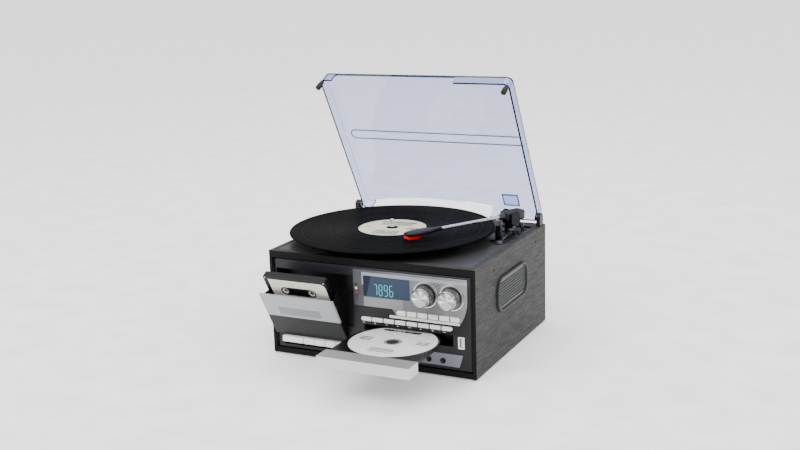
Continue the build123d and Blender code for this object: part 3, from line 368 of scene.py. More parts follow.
def spin(bm, profile, matrix, steps=96, ribs=None, closed=False):
    # A profile of (radius, height) in millimetres turned about the matrix's Z. ribs: a point's index to
    # the (count, depth) of the ribs there.
    rings = []
    for index, (radius, height) in enumerate(profile):
        count, depth = (ribs or {}).get(index, (0, 0.0))
        ring = []
        for step in range(steps):
            angle = 2 * math.pi * step / steps
            reach = (radius - depth * (0.5 - 0.5 * math.cos(count * angle))) * mm
            spot = Vector((reach * math.cos(angle), reach * math.sin(angle), height * mm))
            ring.append(bm.verts.new(matrix @ spot))
        rings.append(ring)
    joinRings(bm, rings, closed)
    if not closed:
        bm.faces.new(rings[0])
        bm.faces.new(rings[-1])


def turnedPiece(name, shapes, material, body, steps, ribs=None, closed=False, **ways):
    # shapes: a (profile, matrix) for each turned form of the piece.
    bm = bmesh.new()
    for profile, matrix in shapes:
        spin(bm, profile, matrix, steps, ribs, closed)
    return keep(name, bm, material, body, **ways)


def slab(bm, outline, low, high, matrix, rounding=0.0):
    # An outline of (x, y) points in millimetres raised from low to high along the matrix's Z.
    under, over = ([bm.verts.new(matrix @ Vector((x * mm, y * mm, level * mm))) for x, y in outline]
                   for level in (low, high))
    top = bm.faces.new(over)
    bm.faces.new(under[::-1])
    joinRings(bm, [under, over])
    if rounding:
        bmesh.ops.bevel(bm, geom=list(top.edges), offset=rounding * mm, segments=2, affect="EDGES",
                        profile=0.5)


def plate(half, bottom, top):
    # The outline of an upright oblong, as wide on both sides.
    return [(-half, bottom), (half, bottom), (half, top), (-half, top)]


def roundedOutline(left, right, bottom, top, radius, steps):
    points = []
    for x, y, start in ((right - radius, top - radius, 0), (left + radius, top - radius, 90),
                        (left + radius, bottom + radius, 180), (right - radius, bottom + radius, 270)):
        for step in range(steps + 1):
            angle = math.radians(start + 90 * step / steps)
            points.append((x + radius * math.cos(angle), y + radius * math.sin(angle)))
    return points


def bridge(bm, loops, matrix):
    # Joins loops of (x, y, z) points in millimetres, all of the same count, with quads.
    rings = [[bm.verts.new(matrix @ Vector([value * mm for value in spot])) for spot in loop]
             for loop in loops]
    joinRings(bm, rings)
    return rings


def facing(direction, x, y, z):
    # A matrix at a point in millimetres whose own Z looks to the front, back, left or right.
    turns = {"front": (90, "X"), "back": (-90, "X"), "right": (90, "Y"), "left": (-90, "Y")}
    degrees, axis = turns[direction]
    return Matrix.Translation((x * mm, y * mm, z * mm)) @ Matrix.Rotation(math.radians(degrees), 4, axis)


frontFace = -139.0
hingeHeight = 34.5
doorHinge = (0.0, -0.1365, hingeHeight * mm)
doorTurn = Matrix.Translation(doorHinge)
doorTilt = doorTurn @ Matrix.Rotation(math.radians(30), 4, "X") @ doorTurn.inverted()
armPivot = (0.124, 0.084, 0)
armAngle = math.radians(-30.5)
armPlace = Matrix.Translation(armPivot) @ Matrix.Rotation(armAngle, 4, "Z")

print("stage: plain finishes")
woods = {
    "sideWood": dict(dark=rgb(34, 33, 33), light=rgb(88, 86, 85), turned=quarter, bump=0.4, frontEdge=-138.6),
    "topWood": dict(dark=rgb(24, 23, 23), light=rgb(78, 76, 75), bump=0.4, dusty=0.5, frontEdge=-138.6),
    "hiddenWood": dict(dark=rgb(10, 10, 10), light=rgb(22, 21, 21)),
}
brushed = dict(grain=1200.0, bump=0.03, metal=1.0)
polished = dict(grain=300.0, bump=0.01, metal=1.0)
plastics = {
    "deckPlastic": dict(colour=rgb(36, 36, 38), rough=0.4, grain=1400.0, bump=0.1, dusty=0.35),
    "innerPlastic": dict(colour=rgb(12, 12, 13), rough=0.5),
    "blackGloss": dict(colour=rgb(11, 11, 12), rough=0.3, bump=0.04, specular=0.22),
    "hingePlastic": dict(colour=rgb(20, 21, 22), rough=0.4, specular=0.3),
    "rubber": dict(colour=rgb(14, 14, 14), rough=0.75, grain=600.0),
    "driverPaint": dict(colour=rgb(16, 16, 17), rough=0.6),
    "buttonCream": dict(colour=rgb(250, 250, 248), rough=0.34, bump=0.03, coat=0.2),
    "cartridgeRed": dict(colour=rgb(226, 14, 20), rough=0.3, bump=0.02, coat=0.3),
    "steel": dict(colour=rgb(190, 192, 196), rough=0.3, **brushed),
    "darkSteel": dict(colour=rgb(70, 71, 74), rough=0.35, **brushed),
    "chrome": dict(colour=rgb(232, 232, 230), rough=0.1, **polished),
    "rimPlastic": dict(colour=rgb(17, 17, 18), rough=0.42, specular=0.3),
    "smokedChrome": dict(colour=rgb(104, 105, 108), rough=0.14, **polished),
    "knobSkirt": dict(colour=rgb(150, 150, 150), rough=0.16, **polished),
    "platterMat": dict(colour=rgb(18, 18, 20), rough=0.7, grain=700.0),
    "boardGreen": dict(colour=rgb(28, 70, 42), rough=0.45),
    "printWhite": dict(colour=rgb(214, 214, 212), rough=0.55, bump=0.02),
}
wearers = {
    "sideWood": ["side_panels"], "topWood": ["top_board"], "hiddenWood": ["bottom_panel"],
    "deckPlastic": ["deck_plate"],
    "innerPlastic": ["cassette_well", "cd_drive", "back_panel", "cassette_lifter"],
    "blackGloss": ["tonearm_base", "tonearm_yoke", "headshell", "cd_tray"],
    "hingePlastic": ["hinge_posts"],
    "rubber": ["rubber_feet", "lid_bumpers", "drive_belt"],
    "driverPaint": ["speaker_drivers", "speaker_grilles"],
    "buttonCream": [name for name in nodes if "button" in name or "piano_key" in name],
    "cartridgeRed": ["cartridge"],
    "steel": ["turntable_motor", "motor_pulley"],
    "chrome": ["center_spindle", "volume_knob", "tuning_knob"],
    "smokedChrome": ["speed_switch", "auto_stop_switch"],
    "platterMat": ["platter"],
    "boardGreen": ["main_board"],
}
finishes = {key: wood(key, **ways) for key, ways in woods.items()}
finishes.update({key: plastic(key, **ways) for key, ways in plastics.items()})
for key, names in wearers.items():
    dress(finishes[key], *names)

print("stage: record and disc")
recordLook = {
    "centre": (-0.025, -0.0115), "label": 0.05, "holeShade": 0.0092, "grooves": (0.0565, 0.1465, 0.0006),
    "groovePitch": 0.00042, "trackScale": 260, "vinyl": rgb(3, 3, 3), "ringGrey": rgb(20, 20, 22),
    "smooth": rgb(9, 9, 10), "paper": rgb(222, 219, 198), "ink": rgb(18, 17, 16), "red": rgb(170, 60, 50),
    "metal": rgb(22, 22, 22), "turned": math.radians(-6),
    "rules": {"Pitch": 0.0056, "Thick": 0.5, "Gaps": 0.36},
    "blocks": (((-24, 24), (14, 27)), ((-20, 20), (-40, -16)), ((22, 40), (-8, 6))),
    "bars": {"Pitch": 0.0092, "Thick": 0.8, "Gaps": 0.4}, "heading": ((-27, 27), (29, 38)), "headingInk": 0.8,
    "mark": ((-41, -34), (-4, -1)), "shine": 0.006, "grooveDepth": 0.00004}


def inkMasks(across, up, look):
    # Rules stand for print: fine ones in the look's blocks, broad ones in its heading.
    rules, bars = (useGroup(ruledGroup, Across=across, Up=up, **look[key])["Mask"]
                   for key in ("rules", "bars"))
    blocks, *others = [patch(across, up, *area) for area in look["blocks"]]
    for one in others:
        blocks = mathNode("ADD", blocks, one)
    return product(rules, blocks), product(patch(across, up, *look["heading"]), bars)


def makeRecord(look):
    made, shader, coords = startMaterial("recordVinyl")
    x, y = look["centre"]
    radius = radiusFrom(coords, (x, y, 0))
    track = lineNoise(product(radius, look["trackScale"]), 3.0)
    label = within(radius, look["label"])
    grooves = between(radius, *look["grooves"])
    across, up, _ = axes(mapped(coords, Location=(-x, -y, 0), Rotation=(0, 0, look["turned"])))
    lines, bars = inkMasks(across, up, look)
    ink = largest(lines, product(bars, look["headingInk"]))
    paper = mixColour(ink, look["paper"], look["ink"])
    paper = paint(paper, across, up, look["mark"], look["red"])
    # Painted shade: a dark disc round the spindle, where the hole and its shade show.
    paper = mixColour(within(radius, look["holeShade"]), paper, look["metal"])
    # Lighter grey rings along the radius, from noise on the radius.
    vinyl = ramp(track, [(0.42, look["vinyl"]), (0.62, look["ringGrey"])])
    vinyl = mixColour(grooves, look["smooth"], vinyl)
    feed(shader, Base_Color=mixColour(label, vinyl, paper), Specular_IOR_Level=look["shine"],
         Roughness=fit(label, 0.3, fit(track, 0.2, 0.2)))
    streaked(shader, "Z")
    waves = stripes(radius, look["groovePitch"])
    bumpInto(shader, product(waves, grooves), 0.3, look["grooveDepth"])
    return made


dress(makeRecord(recordLook), "record")

discLook = {
    "print": rgb(226, 226, 224), "ink": rgb(40, 41, 43), "hub": rgb(140, 142, 144), "ring": rgb(44, 45, 47),
    "ringRadius": 0.0125, "hubSpan": (0.0088, 0.0118), "rules": {"Pitch": 0.0052, "Thick": 0.5, "Gaps": 0.38},
    "blocks": (((-18, 18), (-42, -26)), ((-50, -32), (-8, 8)), ((32, 50), (0, 14))),
    "bars": {"Pitch": 0.0095, "Thick": 0.8, "Gaps": 0.38}, "heading": ((-34, 22), (37.5, 47))}


def makeDisc(look):
    made, shader, coords = startMaterial("discPrint")
    lowest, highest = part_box("compact_disc")
    centre = (lowest + highest) / 2
    centre.z = 0
    radius = radiusFrom(coords, centre)
    across, up, _ = axes(vectorNode("SUBTRACT", coords, centre))
    ring = within(radius, look["ringRadius"])
    colour = mixColour(largest(*inkMasks(across, up, look)), look["print"], look["ink"])
    colour = mixColour(ring, colour, look["ring"])
    colour = mixColour(between(radius, *look["hubSpan"]), colour, look["hub"])
    feed(shader, Base_Color=colour, Roughness=fit(ring, -0.12, 0.34), Specular_IOR_Level=0.4,
         Coat_Weight=0.2)
    return made


dress(makeDisc(discLook), "compact_disc")

trayLook = {"front": rgb(210, 211, 210), "top": rgb(124, 125, 125), "upward": 0.7}


def makeTray(look):
    made, shader, coords = startMaterial("trayPlastic")
    upward = axes(coords.node.outputs["Normal"])[2]
    # Painted shade: faces that look up get a darker grey than the front.
    colour = mixColour(over(upward, look["upward"]), look["front"], look["top"])
    moulded(shader, coords, colour, grain=2200.0, rough=0.36, bump=0.03)
    return made


dress(makeTray(trayLook), "tray_front")

print("stage: front panel")
frontLook = {
    "charcoal": rgb(27, 28, 31), "upper": rgb(36, 37, 43), "recess": rgb(10, 10, 11),
    "upperArea": ((-160, 160), (129.4, 144.5), 0.0006), "recessArea": ((-36.6, -24.3), (54.8, 129.2))}


def makeFront(look):
    made, shader, coords = startMaterial("frontPlastic")
    across, _, up = axes(coords)
    colour = paint(look["charcoal"], across, up, look["upperArea"], look["upper"])
    # Painted shade: a near-black strip beside the cassette bay stands for the bay's dark slot.
    colour = paint(colour, across, up, look["recessArea"], look["recess"])
    moulded(shader, coords, colour, grain=1600.0, rough=0.32, bump=0.05, Specular_IOR_Level=0.3)
    return made


dress(makeFront(frontLook), "fascia")

knobSpots = {"volume_knob": (87.0, 113.5), "tuning_knob": (125.5, 113.5)}
panelLook = {
    "left": rgb(70, 70, 78), "middle": rgb(113, 114, 119), "right": rgb(142, 144, 148),
    "band": rgb(152, 154, 163), "low": rgb(136, 136, 137), "line": rgb(84, 86, 94), "bar": rgb(228, 228, 227),
    "shadow": rgb(14, 14, 15), "shadowSize": (0.0152, 0.0001), "width": 0.174, "start": 0.14,
    "areas": (("band", (-10.4, 148), (131.4, 136.2)), ("band", (-10.4, -7.5), (118, 136.2)),
              ("low", (-7.8, 52), (86, 101.2)), ("line", (-24, 148), (136.8, 137.6))),
    "barArea": ((20, 140), (74, 78.8), 0.0001)}


def makePanel(look):
    made, shader, coords = startMaterial("silverPanel")
    across, _, up = axes(coords)
    # Painted shade and sheen: the silver runs from dark at the left, through the middle, to light at the
    # right.
    left, middle, right = look["left"], look["middle"], look["right"]
    share = fit(across, 1 / look["width"], look["start"])
    colour = ramp(share, [(0.0, left), (0.2, left), (0.42, middle), (0.7, middle), (1.0, right)])
    for key, *area in look["areas"]:
        colour = paint(colour, across, up, area, look[key])
    bar = patch(across, up, *look["barArea"])
    colour = mixColour(bar, colour, look["bar"])
    turned = mapped(coords, Rotation=(-quarter, 0, 0))
    radii = [radiusFrom(turned, (x * mm, -z * mm, 0)) for x, z in knobSpots.values()]
    shaded = largest(*[within(radius, *look["shadowSize"]) for radius in radii])
    colour = mixColour(shaded, colour, look["shadow"])
    mould = useGroup(mouldGroup, Vector=coords, Color=colour, Grain=2400.0)
    metal = product(fit(bar, -0.25, 0.25), minus(1.0, shaded))
    feed(shader, Base_Color=mould["Color"], Metallic=metal, Roughness=fit(shaded, 0.2, 0.34),
         Specular_IOR_Level=0.5, Coat_Weight=0.2)
    bumpInto(shader, mould["Height"], 0.03)
    return made


dress(makePanel(panelLook), "display_panel")

socketLook = {
    "plate": rgb(122, 124, 136), "usb": rgb(248, 248, 246), "slit": rgb(176, 176, 176),
    "dark": rgb(40, 41, 44), "bore": rgb(16, 16, 18), "boreDepth": -0.1368, "boreEnd": 0.125,
    "slitPitch": 0.0022, "port": ((132.6, 144.4), (42, 62.6)), "surround": ((125, 150), (36, 66))}


def makeSockets(look):
    made, shader, coords = startMaterial("socketPlate")
    across, depth, up = axes(coords)
    slits = product(over(stripes(across, look["slitPitch"]), 0.75), 0.6)
    white = mixColour(slits, look["usb"], look["slit"])
    bore = product(over(depth, look["boreDepth"]), under(across, look["boreEnd"]))
    colour = paint(look["plate"], across, up, look["surround"], look["dark"])
    colour = paint(colour, across, up, look["port"], white)
    colour = mixColour(bore, colour, look["bore"])
    grain = noise(coords, 1800.0)
    feed(shader, Base_Color=colour, Roughness=fit(grain, 0.1, 0.3))
    bumpInto(shader, grain, 0.03)
    return made


dress(makeSockets(socketLook), "front_sockets")

screenLook = {
    "glass": rgb(50, 66, 86), "shadeWedge": rgb(6, 24, 52), "mottle": rgb(62, 76, 92), "lit": rgb(70, 205, 220),
    "litMottle": rgb(30, 60, 80), "foot": 0.102, "slant": 0.28, "wedgeFoot": -0.0035, "wedgeSoft": 0.0003,
    "digits": "7896",
    "left": 8.4, "bottom": 105.0, "pitch": 8.1, "width": 4.7, "height": 15.2, "thick": 0.8, "gap": 0.35,
    "plane": -139.2, "raised": 0.12}


def makeScreen(look):
    made, shader, coords = startMaterial("screenGlass")
    across, _, up = axes(coords)
    # A wedge of painted shade, darker, on the left where the glass is seen at a slant.
    edge = fit(minus(up, look["foot"]), look["slant"], look["wedgeFoot"])
    shadeWedge = within(minus(across, edge), 0, look["wedgeSoft"])
    colour = mixColour(shadeWedge, look["glass"], look["shadeWedge"])
    colour = mixColour(product(noise(coords, 60.0), 0.1), colour, look["mottle"])
    feed(shader, Base_Color=colour, Roughness=0.24, Specular_IOR_Level=0.15, Coat_Weight=0.08,
         Coat_Roughness=0.08)
    return made


dress(makeScreen(screenLook), "lcd_screen")


def makeGlow(look):
    made, shader, coords = startMaterial("litSegments")
    shade = mixColour(product(noise(coords, 900.0), 0.3), look["lit"], look["litMottle"])
    feed(shader, Base_Color=shade, Emission_Color=shade, Emission_Strength=0.55, Roughness=0.4)
    return made


def makeDigits(look):
    # Seven plain bars a digit, on a grid one wide and two high, less the unlit ones.
    bars = {"top": ((0, 2), (1, 2)), "leftHigh": ((0, 1), (0, 2)), "rightHigh": ((1, 1), (1, 2)),
            "middle": ((0, 1), (1, 1)), "leftLow": ((0, 0), (0, 1)), "rightLow": ((1, 0), (1, 1)),
            "bottom": ((0, 0), (1, 0))}
    unlit = {"6": ("rightHigh",), "7": ("leftHigh", "middle", "leftLow", "bottom"), "8": (),
             "9": ("leftLow",)}
    bm = bmesh.new()
    flat = facing("front", 0, look["plane"], 0)
    for column, digit in enumerate(look["digits"]):
        left = look["left"] + look["pitch"] * column
        for name, ends in bars.items():
            if name in unlit[digit]:
                continue
            start, end = (Vector((left + x * look["width"], look["bottom"] + y * look["height"] / 2))
                          for x, y in ends)
            along = (end - start).normalized()
            side = Vector((-along.y, along.x)) * look["thick"] / 2
            start, end = start + along * look["gap"], end - along * look["gap"]
            tip = along * look["thick"] / 2
            outline = [start, start + tip + side, end - tip + side, end, end - tip - side, start + tip - side]
            slab(bm, outline, 0.0, look["raised"], flat)
    return keep("screen_digits", bm, makeGlow(look), "cabinet")


makeDigits(screenLook)

print("stage: cassette door")
tiltUp = (0.0, -0.5, 0.8660254)
tiltOut = (0.0, -0.8660254, -0.5)


def alongDoor(coords):
    # Across, up and out of the tilted door, in metres from its hinge line.
    moved = vectorNode("SUBTRACT", coords, doorHinge)
    up, out = (vectorNode("DOT_PRODUCT", moved, way) for way in (tiltUp, tiltOut))
    return axes(coords)[0], up, out


doorLook = {"left": rgb(31, 31, 33), "right": rgb(15, 16, 19), "edge": rgb(14, 14, 16), "width": 0.119,
            "start": 1.29, "edgeDepth": 0.0044}


def makeDoor(look):
    made, shader, coords = startMaterial("doorPlastic")
    across, _, out = alongDoor(coords)
    share = fit(across, 1 / look["width"], look["start"])
    # Painted shade: the door runs from lighter at the left to darker at the right.
    colour = ramp(share, [(0.0, look["left"]), (1.0, look["right"])])
    colour = mixColour(under(out, look["edgeDepth"]), colour, look["edge"])
    moulded(shader, coords, colour, grain=1600.0, rough=0.3, bump=0.05, swing=0.1, Specular_IOR_Level=0.25)
    return made


dress(makeDoor(doorLook), "cassette_door")

windowLook = {"milky": rgb(164, 167, 170), "shade": rgb(98, 101, 104), "cloud": rgb(146, 149, 153),
              "seen": ((-130, -62), (42, 58), 0.0008)}


def makeWindow(look):
    made, shader, coords = startMaterial("windowPlastic")
    across, up, _ = alongDoor(coords)
    seen = patch(across, up, *look["seen"])
    cloud = noise(coords, 30.0)
    colour = mixColour(product(seen, 0.75), look["milky"], look["shade"])
    colour = mixColour(product(cloud, 0.2), colour, look["cloud"])
    feed(shader, Base_Color=colour, Roughness=fit(cloud, 0.08, 0.14), Specular_IOR_Level=0.5,
         Coat_Weight=0.3)
    return made


dress(makeWindow(windowLook), "door_window")

cassetteLook = {
    "shell": rgb(15, 15, 16), "paper": rgb(228, 225, 212), "ink": rgb(60, 57, 52), "glass": rgb(26, 27, 30),
    "face": -0.0086, "label": ((-138, -47), (60, 98.7)), "corner": (0.055, -0.0907), "cornerRadius": 0.008,
    "window": (-94.5, 77.5, 28.5, 7.6), "rules": {"Pitch": 0.0045, "Thick": 0.12, "Gaps": 0.1},
    "ruled": ((-132, -58), (87.5, 96)), "front": -128.1, "hubs": (-115.75, -73.25), "hubHeight": 77.5,
    "screws": ((-141.5, 101), (-47.6, 101)), "screwRadius": 1.3, "teeth": 6,
    "hub": ((4.1, -2.2), (4.9, -2.2), (4.9, -0.3), (4.7, -0.15), (4.3, -0.15), (4.1, -0.3)),
    "tooth": plate(0.45, 3.05, 4.2), "toothDepths": (-2.1, -0.4), "toothRound": 0.12}


def makeCassette(look):
    made, shader, coords = startMaterial("cassetteShellPrint")
    across, up, out = alongDoor(coords)
    front = over(out, look["face"])
    # The label's upper right corner is cut round.
    away = point(*[largest(mathNode("ADD", value, shift), 0.0)
                         for value, shift in zip((across, up), look["corner"])])
    inside = under(vectorNode("LENGTH", away), look["cornerRadius"])
    label = product(patch(across, up, *look["label"]), front, inside)
    middle, height, half, radius = (value * mm for value in look["window"])
    aside = mathNode("ABSOLUTE", minus(across, middle))
    aside = largest(minus(aside, half - radius), 0.0)
    away = point(aside, minus(up, height))
    window = product(under(vectorNode("LENGTH", away), radius), front)
    rules = useGroup(ruledGroup, Across=across, Up=up, **look["rules"])["Mask"]
    ruled = product(rules, patch(across, up, *look["ruled"]), 0.6)
    colour = mixColour(label, look["shell"], mixColour(ruled, look["paper"], look["ink"]))
    colour = mixColour(window, colour, look["glass"])
    feed(shader, Base_Color=colour, Roughness=fit(window, -0.35, fit(label, 0.25, 0.28)),
         Specular_IOR_Level=0.2)
    bumpInto(shader, noise(coords, 1500.0), 0.05)
    return made


dress(makeCassette(cassetteLook), "cassette")


def makeHubs(look):
    bm = bmesh.new()
    for x in look["hubs"]:
        matrix = doorTilt @ facing("front", x, look["front"], hingeHeight + look["hubHeight"])
        spin(bm, look["hub"], matrix, 40, closed=True)
        for step in range(look["teeth"]):
            turn = matrix @ Matrix.Rotation(2 * math.pi * (step + 0.5) / look["teeth"], 4, "Z")
            slab(bm, look["tooth"], *look["toothDepths"], turn, look["toothRound"])
    return keep("cassette_hubs", bm, finishes["buttonCream"], "cassette")


def makeScrews(name, spots, direction, radius, body, material, tilt=Matrix()):
    # Small cross-slotted screw heads at (x, y, z) points in millimetres.
    bm = bmesh.new()
    half, thin = radius * 0.6, radius * 0.12
    for x, y, z in spots:
        matrix = tilt @ facing(direction, x, y, z)
        spin(bm, [(radius, -0.2), (radius, 0.25), (radius * 0.9, 0.45), (radius * 0.55, 0.55),
                  (radius * 0.5, 0.3), (radius * 0.1, 0.3)], matrix, 20)
        for degrees in (45, 135):
            turn = matrix @ Matrix.Rotation(math.radians(degrees), 4, "Z")
            slab(bm, plate(half, -thin, thin), 0.2, 0.42, turn)
    return keep(name, bm, material, body)


makeHubs(cassetteLook)
makeScrews("cassette_screws",
           [(x, cassetteLook["front"], hingeHeight + up) for x, up in cassetteLook["screws"]],
           "front", cassetteLook["screwRadius"], "cassette", finishes["steel"], doorTilt)

holderLook = {"cheek": -36.9, "depth": -132.2, "marks": ((60, 3.2), (43, 2.2), (75, 1.4))}


def makeCheekMarks(look):
    # Shallow moulded rounds on the outer face of the holder's right cheek.
    shapes = []
    for up, radius in look["marks"]:
        matrix = doorTilt @ facing("right", look["cheek"], look["depth"], hingeHeight + up)
        profile = [(radius, 0.0), (radius * 0.94, 0.2), (radius * 0.7, 0.22), (radius * 0.6, 0.08),
                   (radius * 0.1, 0.08)]
        shapes.append((profile, matrix))
    return turnedPiece("holder_marks", shapes, finishes["hingePlastic"], "door", 32)


makeCheekMarks(holderLook)

print("stage: tonearm")
armLook = {"bare": rgb(206, 207, 208), "dark": rgb(17, 17, 18), "span": (-0.1275, -0.0235)}


def makeArm(look):
    made, shader, coords = startMaterial("armMetal")
    moved = mapped(coords, Location=[-value for value in armPivot])
    along = axes(mapped(moved, Rotation=(0, 0, -armAngle)))[1]
    bare = between(along, *look["span"])
    rough = fit(noise(coords, 1200.0), 0.06, 0.26)
    feed(shader, Base_Color=mixColour(bare, look["dark"], look["bare"]),
         Metallic=product(bare, 0.9), Roughness=fit(bare, -0.06, rough))
    return made


dress(makeArm(armLook), "tonearm_tube")

shellLook = {
    "sections": ((-126.5, 3.4, 2.4), (-131, 4.0, 2.6), (-139, 5.8, 3.0), (-147, 8.6, 3.3), (-154, 10.6, 3.4),
                 (-163, 11.2, 3.3), (-174, 10.6, 3.1), (-181, 9.4, 2.7), (-185.5, 7.4, 2.0),
                 (-187.5, 5.2, 1.1)),
    "height": 177.2, "steps": 32}


def makeShell(look):
    bm = bmesh.new()
    loops = []
    for along, half, thick in look["sections"]:
        loop = []
        for step in range(look["steps"]):
            angle = 2 * math.pi * step / look["steps"]
            c, s = math.cos(angle), math.sin(angle)
            across = math.copysign(abs(c) ** 0.5, c) * half
            up = math.copysign(abs(s) ** 0.6, s) * thick
            loop.append((across, along, look["height"] + up))
        loops.append(loop)
    rings = bridge(bm, loops, armPlace)
    bm.faces.new(rings[0])
    bm.faces.new(rings[-1])
    return keep("headshell_body", bm, finishes["blackGloss"], "arm", ("headshell",), angle=0.9)


makeShell(shellLook)

leverLook = {"handle": rgb(20, 20, 21), "tip": rgb(206, 207, 208), "tipEnd": 0.010}


def makeLever(look):
    made, shader, coords = startMaterial("leverFinish")
    tip = under(axes(coords)[1], look["tipEnd"])
    feed(shader, Base_Color=mixColour(tip, look["handle"], look["tip"]), Metallic=tip,
         Roughness=fit(noise(coords, 900.0), 0.08, 0.22))
    return made


dress(makeLever(leverLook), "cue_lever")

print("stage: knobs and lights")
knobLook = {"radius": 13.8, "tip": 20.0, "ribs": 72, "ribDepth": 0.45, "rough": 0.24, "fineScale": 5200,
            "sectorScale": 1.15, "dark": rgb(128, 128, 128), "light": rgb(244, 244, 242),
            "fine": rgb(205, 205, 204)}


def turnedFace(look):
    made, shader, coords = startMaterial("turnedFace")
    # Concentric turning marks, with painted highlight and shade sectors like those a fine-turned disc shows
    # under light.
    turned = mapped(coords, Rotation=(-quarter, 0, 0))
    polar = useGroup(polarGroup, Vector=turned, Centre=(0, 0, 0))
    fine = lineNoise(product(polar["Radius"], look["fineScale"]))
    sheenSector = lineNoise(product(polar["Angle"], look["sectorScale"]), 0.0)
    sheenSector = ramp(sheenSector, [(0.36, 0.0), (0.46, 0.55), (0.5, 0.35), (0.62, 1.0)])
    colour = mixColour(sheenSector, look["dark"], look["light"])
    colour = mixColour(product(fine, 0.3), colour, look["fine"])
    feed(shader, Base_Color=colour, Roughness=fit(fine, 0.06, look["rough"]), Metallic=1.0)
    streaked(shader, "Y")
    return made


def makeKnobs(look):
    faceMaterial = turnedFace(look)
    ribs = {index: (look["ribs"], look["ribDepth"]) for index in (2, 3)}
    radius, tip = look["radius"], look["tip"]
    flat = facing("front", 0, 0, 0)
    skirt = [(radius - 0.8, 0.35), (radius, 0.9), (radius, 1.2), (radius, tip - 2.2),
             (radius - 0.1, tip - 1.6), (radius - 0.7, tip - 0.6), (radius - 1.5, tip - 0.1),
             (radius - 2.1, tip), (radius - 2.5, tip - 0.3), (radius - 2.6, tip - 1.2)]
    face = [(radius - 2.6, tip - 1.4), (radius - 2.6, tip - 0.5), (radius * 0.55, tip - 0.9),
            (radius * 0.2, tip - 1.1), (0.05, tip - 1.15)]
    for node, (x, z) in knobSpots.items():
        origin = Vector((x, frontFace, z)) * mm
        turnedPiece(node + "_skirt", [(skirt, flat)], finishes["knobSkirt"], node, look["ribs"] * 5, ribs,
                    replaced=(node,), origin=origin)
        turnedPiece(node + "_face", [(face, flat)], faceMaterial, node, 96, origin=origin)


makeKnobs(knobLook)

ringLook = {"inner": 14.9, "outer": 18.4, "rise": 1.9, "ribs": 60, "depth": 0.5}


def makeKnobRings(look):
    inner, outer, rise = look["inner"], look["outer"], look["rise"]
    profile = [(outer, -0.1), (outer, rise * 0.6), (outer - 0.4, rise), (outer - 1.2, rise),
               (inner + 0.8, rise * 0.7), (inner, rise * 0.5), (inner, -0.1)]
    shapes = [(profile, facing("front", x, frontFace, z)) for x, z in knobSpots.values()]
    return turnedPiece("knob_rings", shapes, finishes["chrome"], "cabinet", look["ribs"] * 4,
                       {3: (look["ribs"], look["depth"])}, closed=True)


makeKnobRings(ringLook)

jackLook = {"spots": ((89.0, 23.0), (110.0, 23.0)), "inner": 1.9, "outer": 4.0, "rise": 0.7}


def makeJackRings(look):
    inner, outer, rise = look["inner"], look["outer"], look["rise"]
    profile = [(outer, -0.1), (outer, rise * 0.6), (outer - 0.5, rise), (inner + 0.3, rise),
               (inner, rise * 0.6), (inner, -0.1)]
    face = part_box("front_sockets")[0].y / mm
    shapes = [(profile, facing("front", x, face, z)) for x, z in look["spots"]]
    return turnedPiece("jack_rings", shapes, finishes["blackGloss"], "cabinet", 40, closed=True)


makeJackRings(jackLook)

lampLook = {"x": -19.2, "radius": 2.0, "lamps": {"lamp_dark": (117.8, rgb(16, 16, 17)),
                                                 "lamp_white": (112.0, rgb(236, 236, 234)),
                                                 "lamp_red": (106.3, rgb(190, 16, 20))}}


def makeLamps(look):
    radius = look["radius"]
    profile = [(radius, -0.1), (radius * 0.97, 0.25), (radius * 0.8, 0.55), (radius * 0.4, 0.75), (0.05, 0.8)]
    for name, (z, colour) in look["lamps"].items():
        turnedPiece(name, [(profile, facing("front", look["x"], frontFace, z))],
                    plastic(name + "Finish", colour, 0.25, bump=0.02, coat=0.3), "cabinet", 24)


makeLamps(lampLook)

markLook = {
    "low": -0.02, "high": 0.06, "first": -8.9, "pitch": 17.45, "height": 63.9,
    "order": ("bar", "stop", "back", "play", "bar", "play", "stop", "bar"),
    "shapes": {"play": [(-1.3, -0.9), (1.3, 0), (-1.3, 0.9)], "back": [(1.3, -0.9), (1.3, 0.9), (-1.3, 0)],
               "stop": plate(1.1, -0.8, 0.8), "bar": plate(2.0, -0.35, 0.35)},
    "tick": plate(0.3, 19.6, 21.3), "tickDegrees": 11, "ticksAside": 6}


def makeMarks(look):
    # Plain signs under the buttons and ticks round the knobs.
    bm = bmesh.new()
    flat = facing("front", 0, frontFace, 0)
    for index, shape in enumerate(look["order"]):
        x = look["first"] + look["pitch"] * index
        outline = [(x + px, look["height"] + pz) for px, pz in look["shapes"][shape]]
        slab(bm, outline, look["low"], look["high"], flat)
    for x, z in knobSpots.values():
        centre = flat @ Matrix.Translation((x * mm, z * mm, 0))
        for step in range(-look["ticksAside"], look["ticksAside"] + 1):
            turn = Matrix.Rotation(-math.radians(step * look["tickDegrees"]), 4, "Z")
            slab(bm, look["tick"], look["low"], look["high"], centre @ turn)
    return keep("panel_marks", bm, finishes["printWhite"], "cabinet")


makeMarks(markLook)

print("stage: speaker grilles")
grilleLook = {
    "centre": (-6.0, 96.0), "length": 118.0, "height": 51.5, "corner": 19.0, "pitch": 4.6, "hole": 1.95,
    "level": 1.3, "depth": 0.9, "rimWidth": 5.0, "mesh": rgb(58, 62, 60), "cloth": (0.05, 0.25),
    "clothTuck": 0.6, "meshTuck": 1.4, "unpierced": 1.0, "weld": 0.00002,
    "rim": ((0.0, 0.0), (0.1, 2.4), (0.8, 3.2), (2.0, 3.4), (3.4, 3.1), (4.4, 2.2), (5.0, 1.0), (5.2, 0.2))}


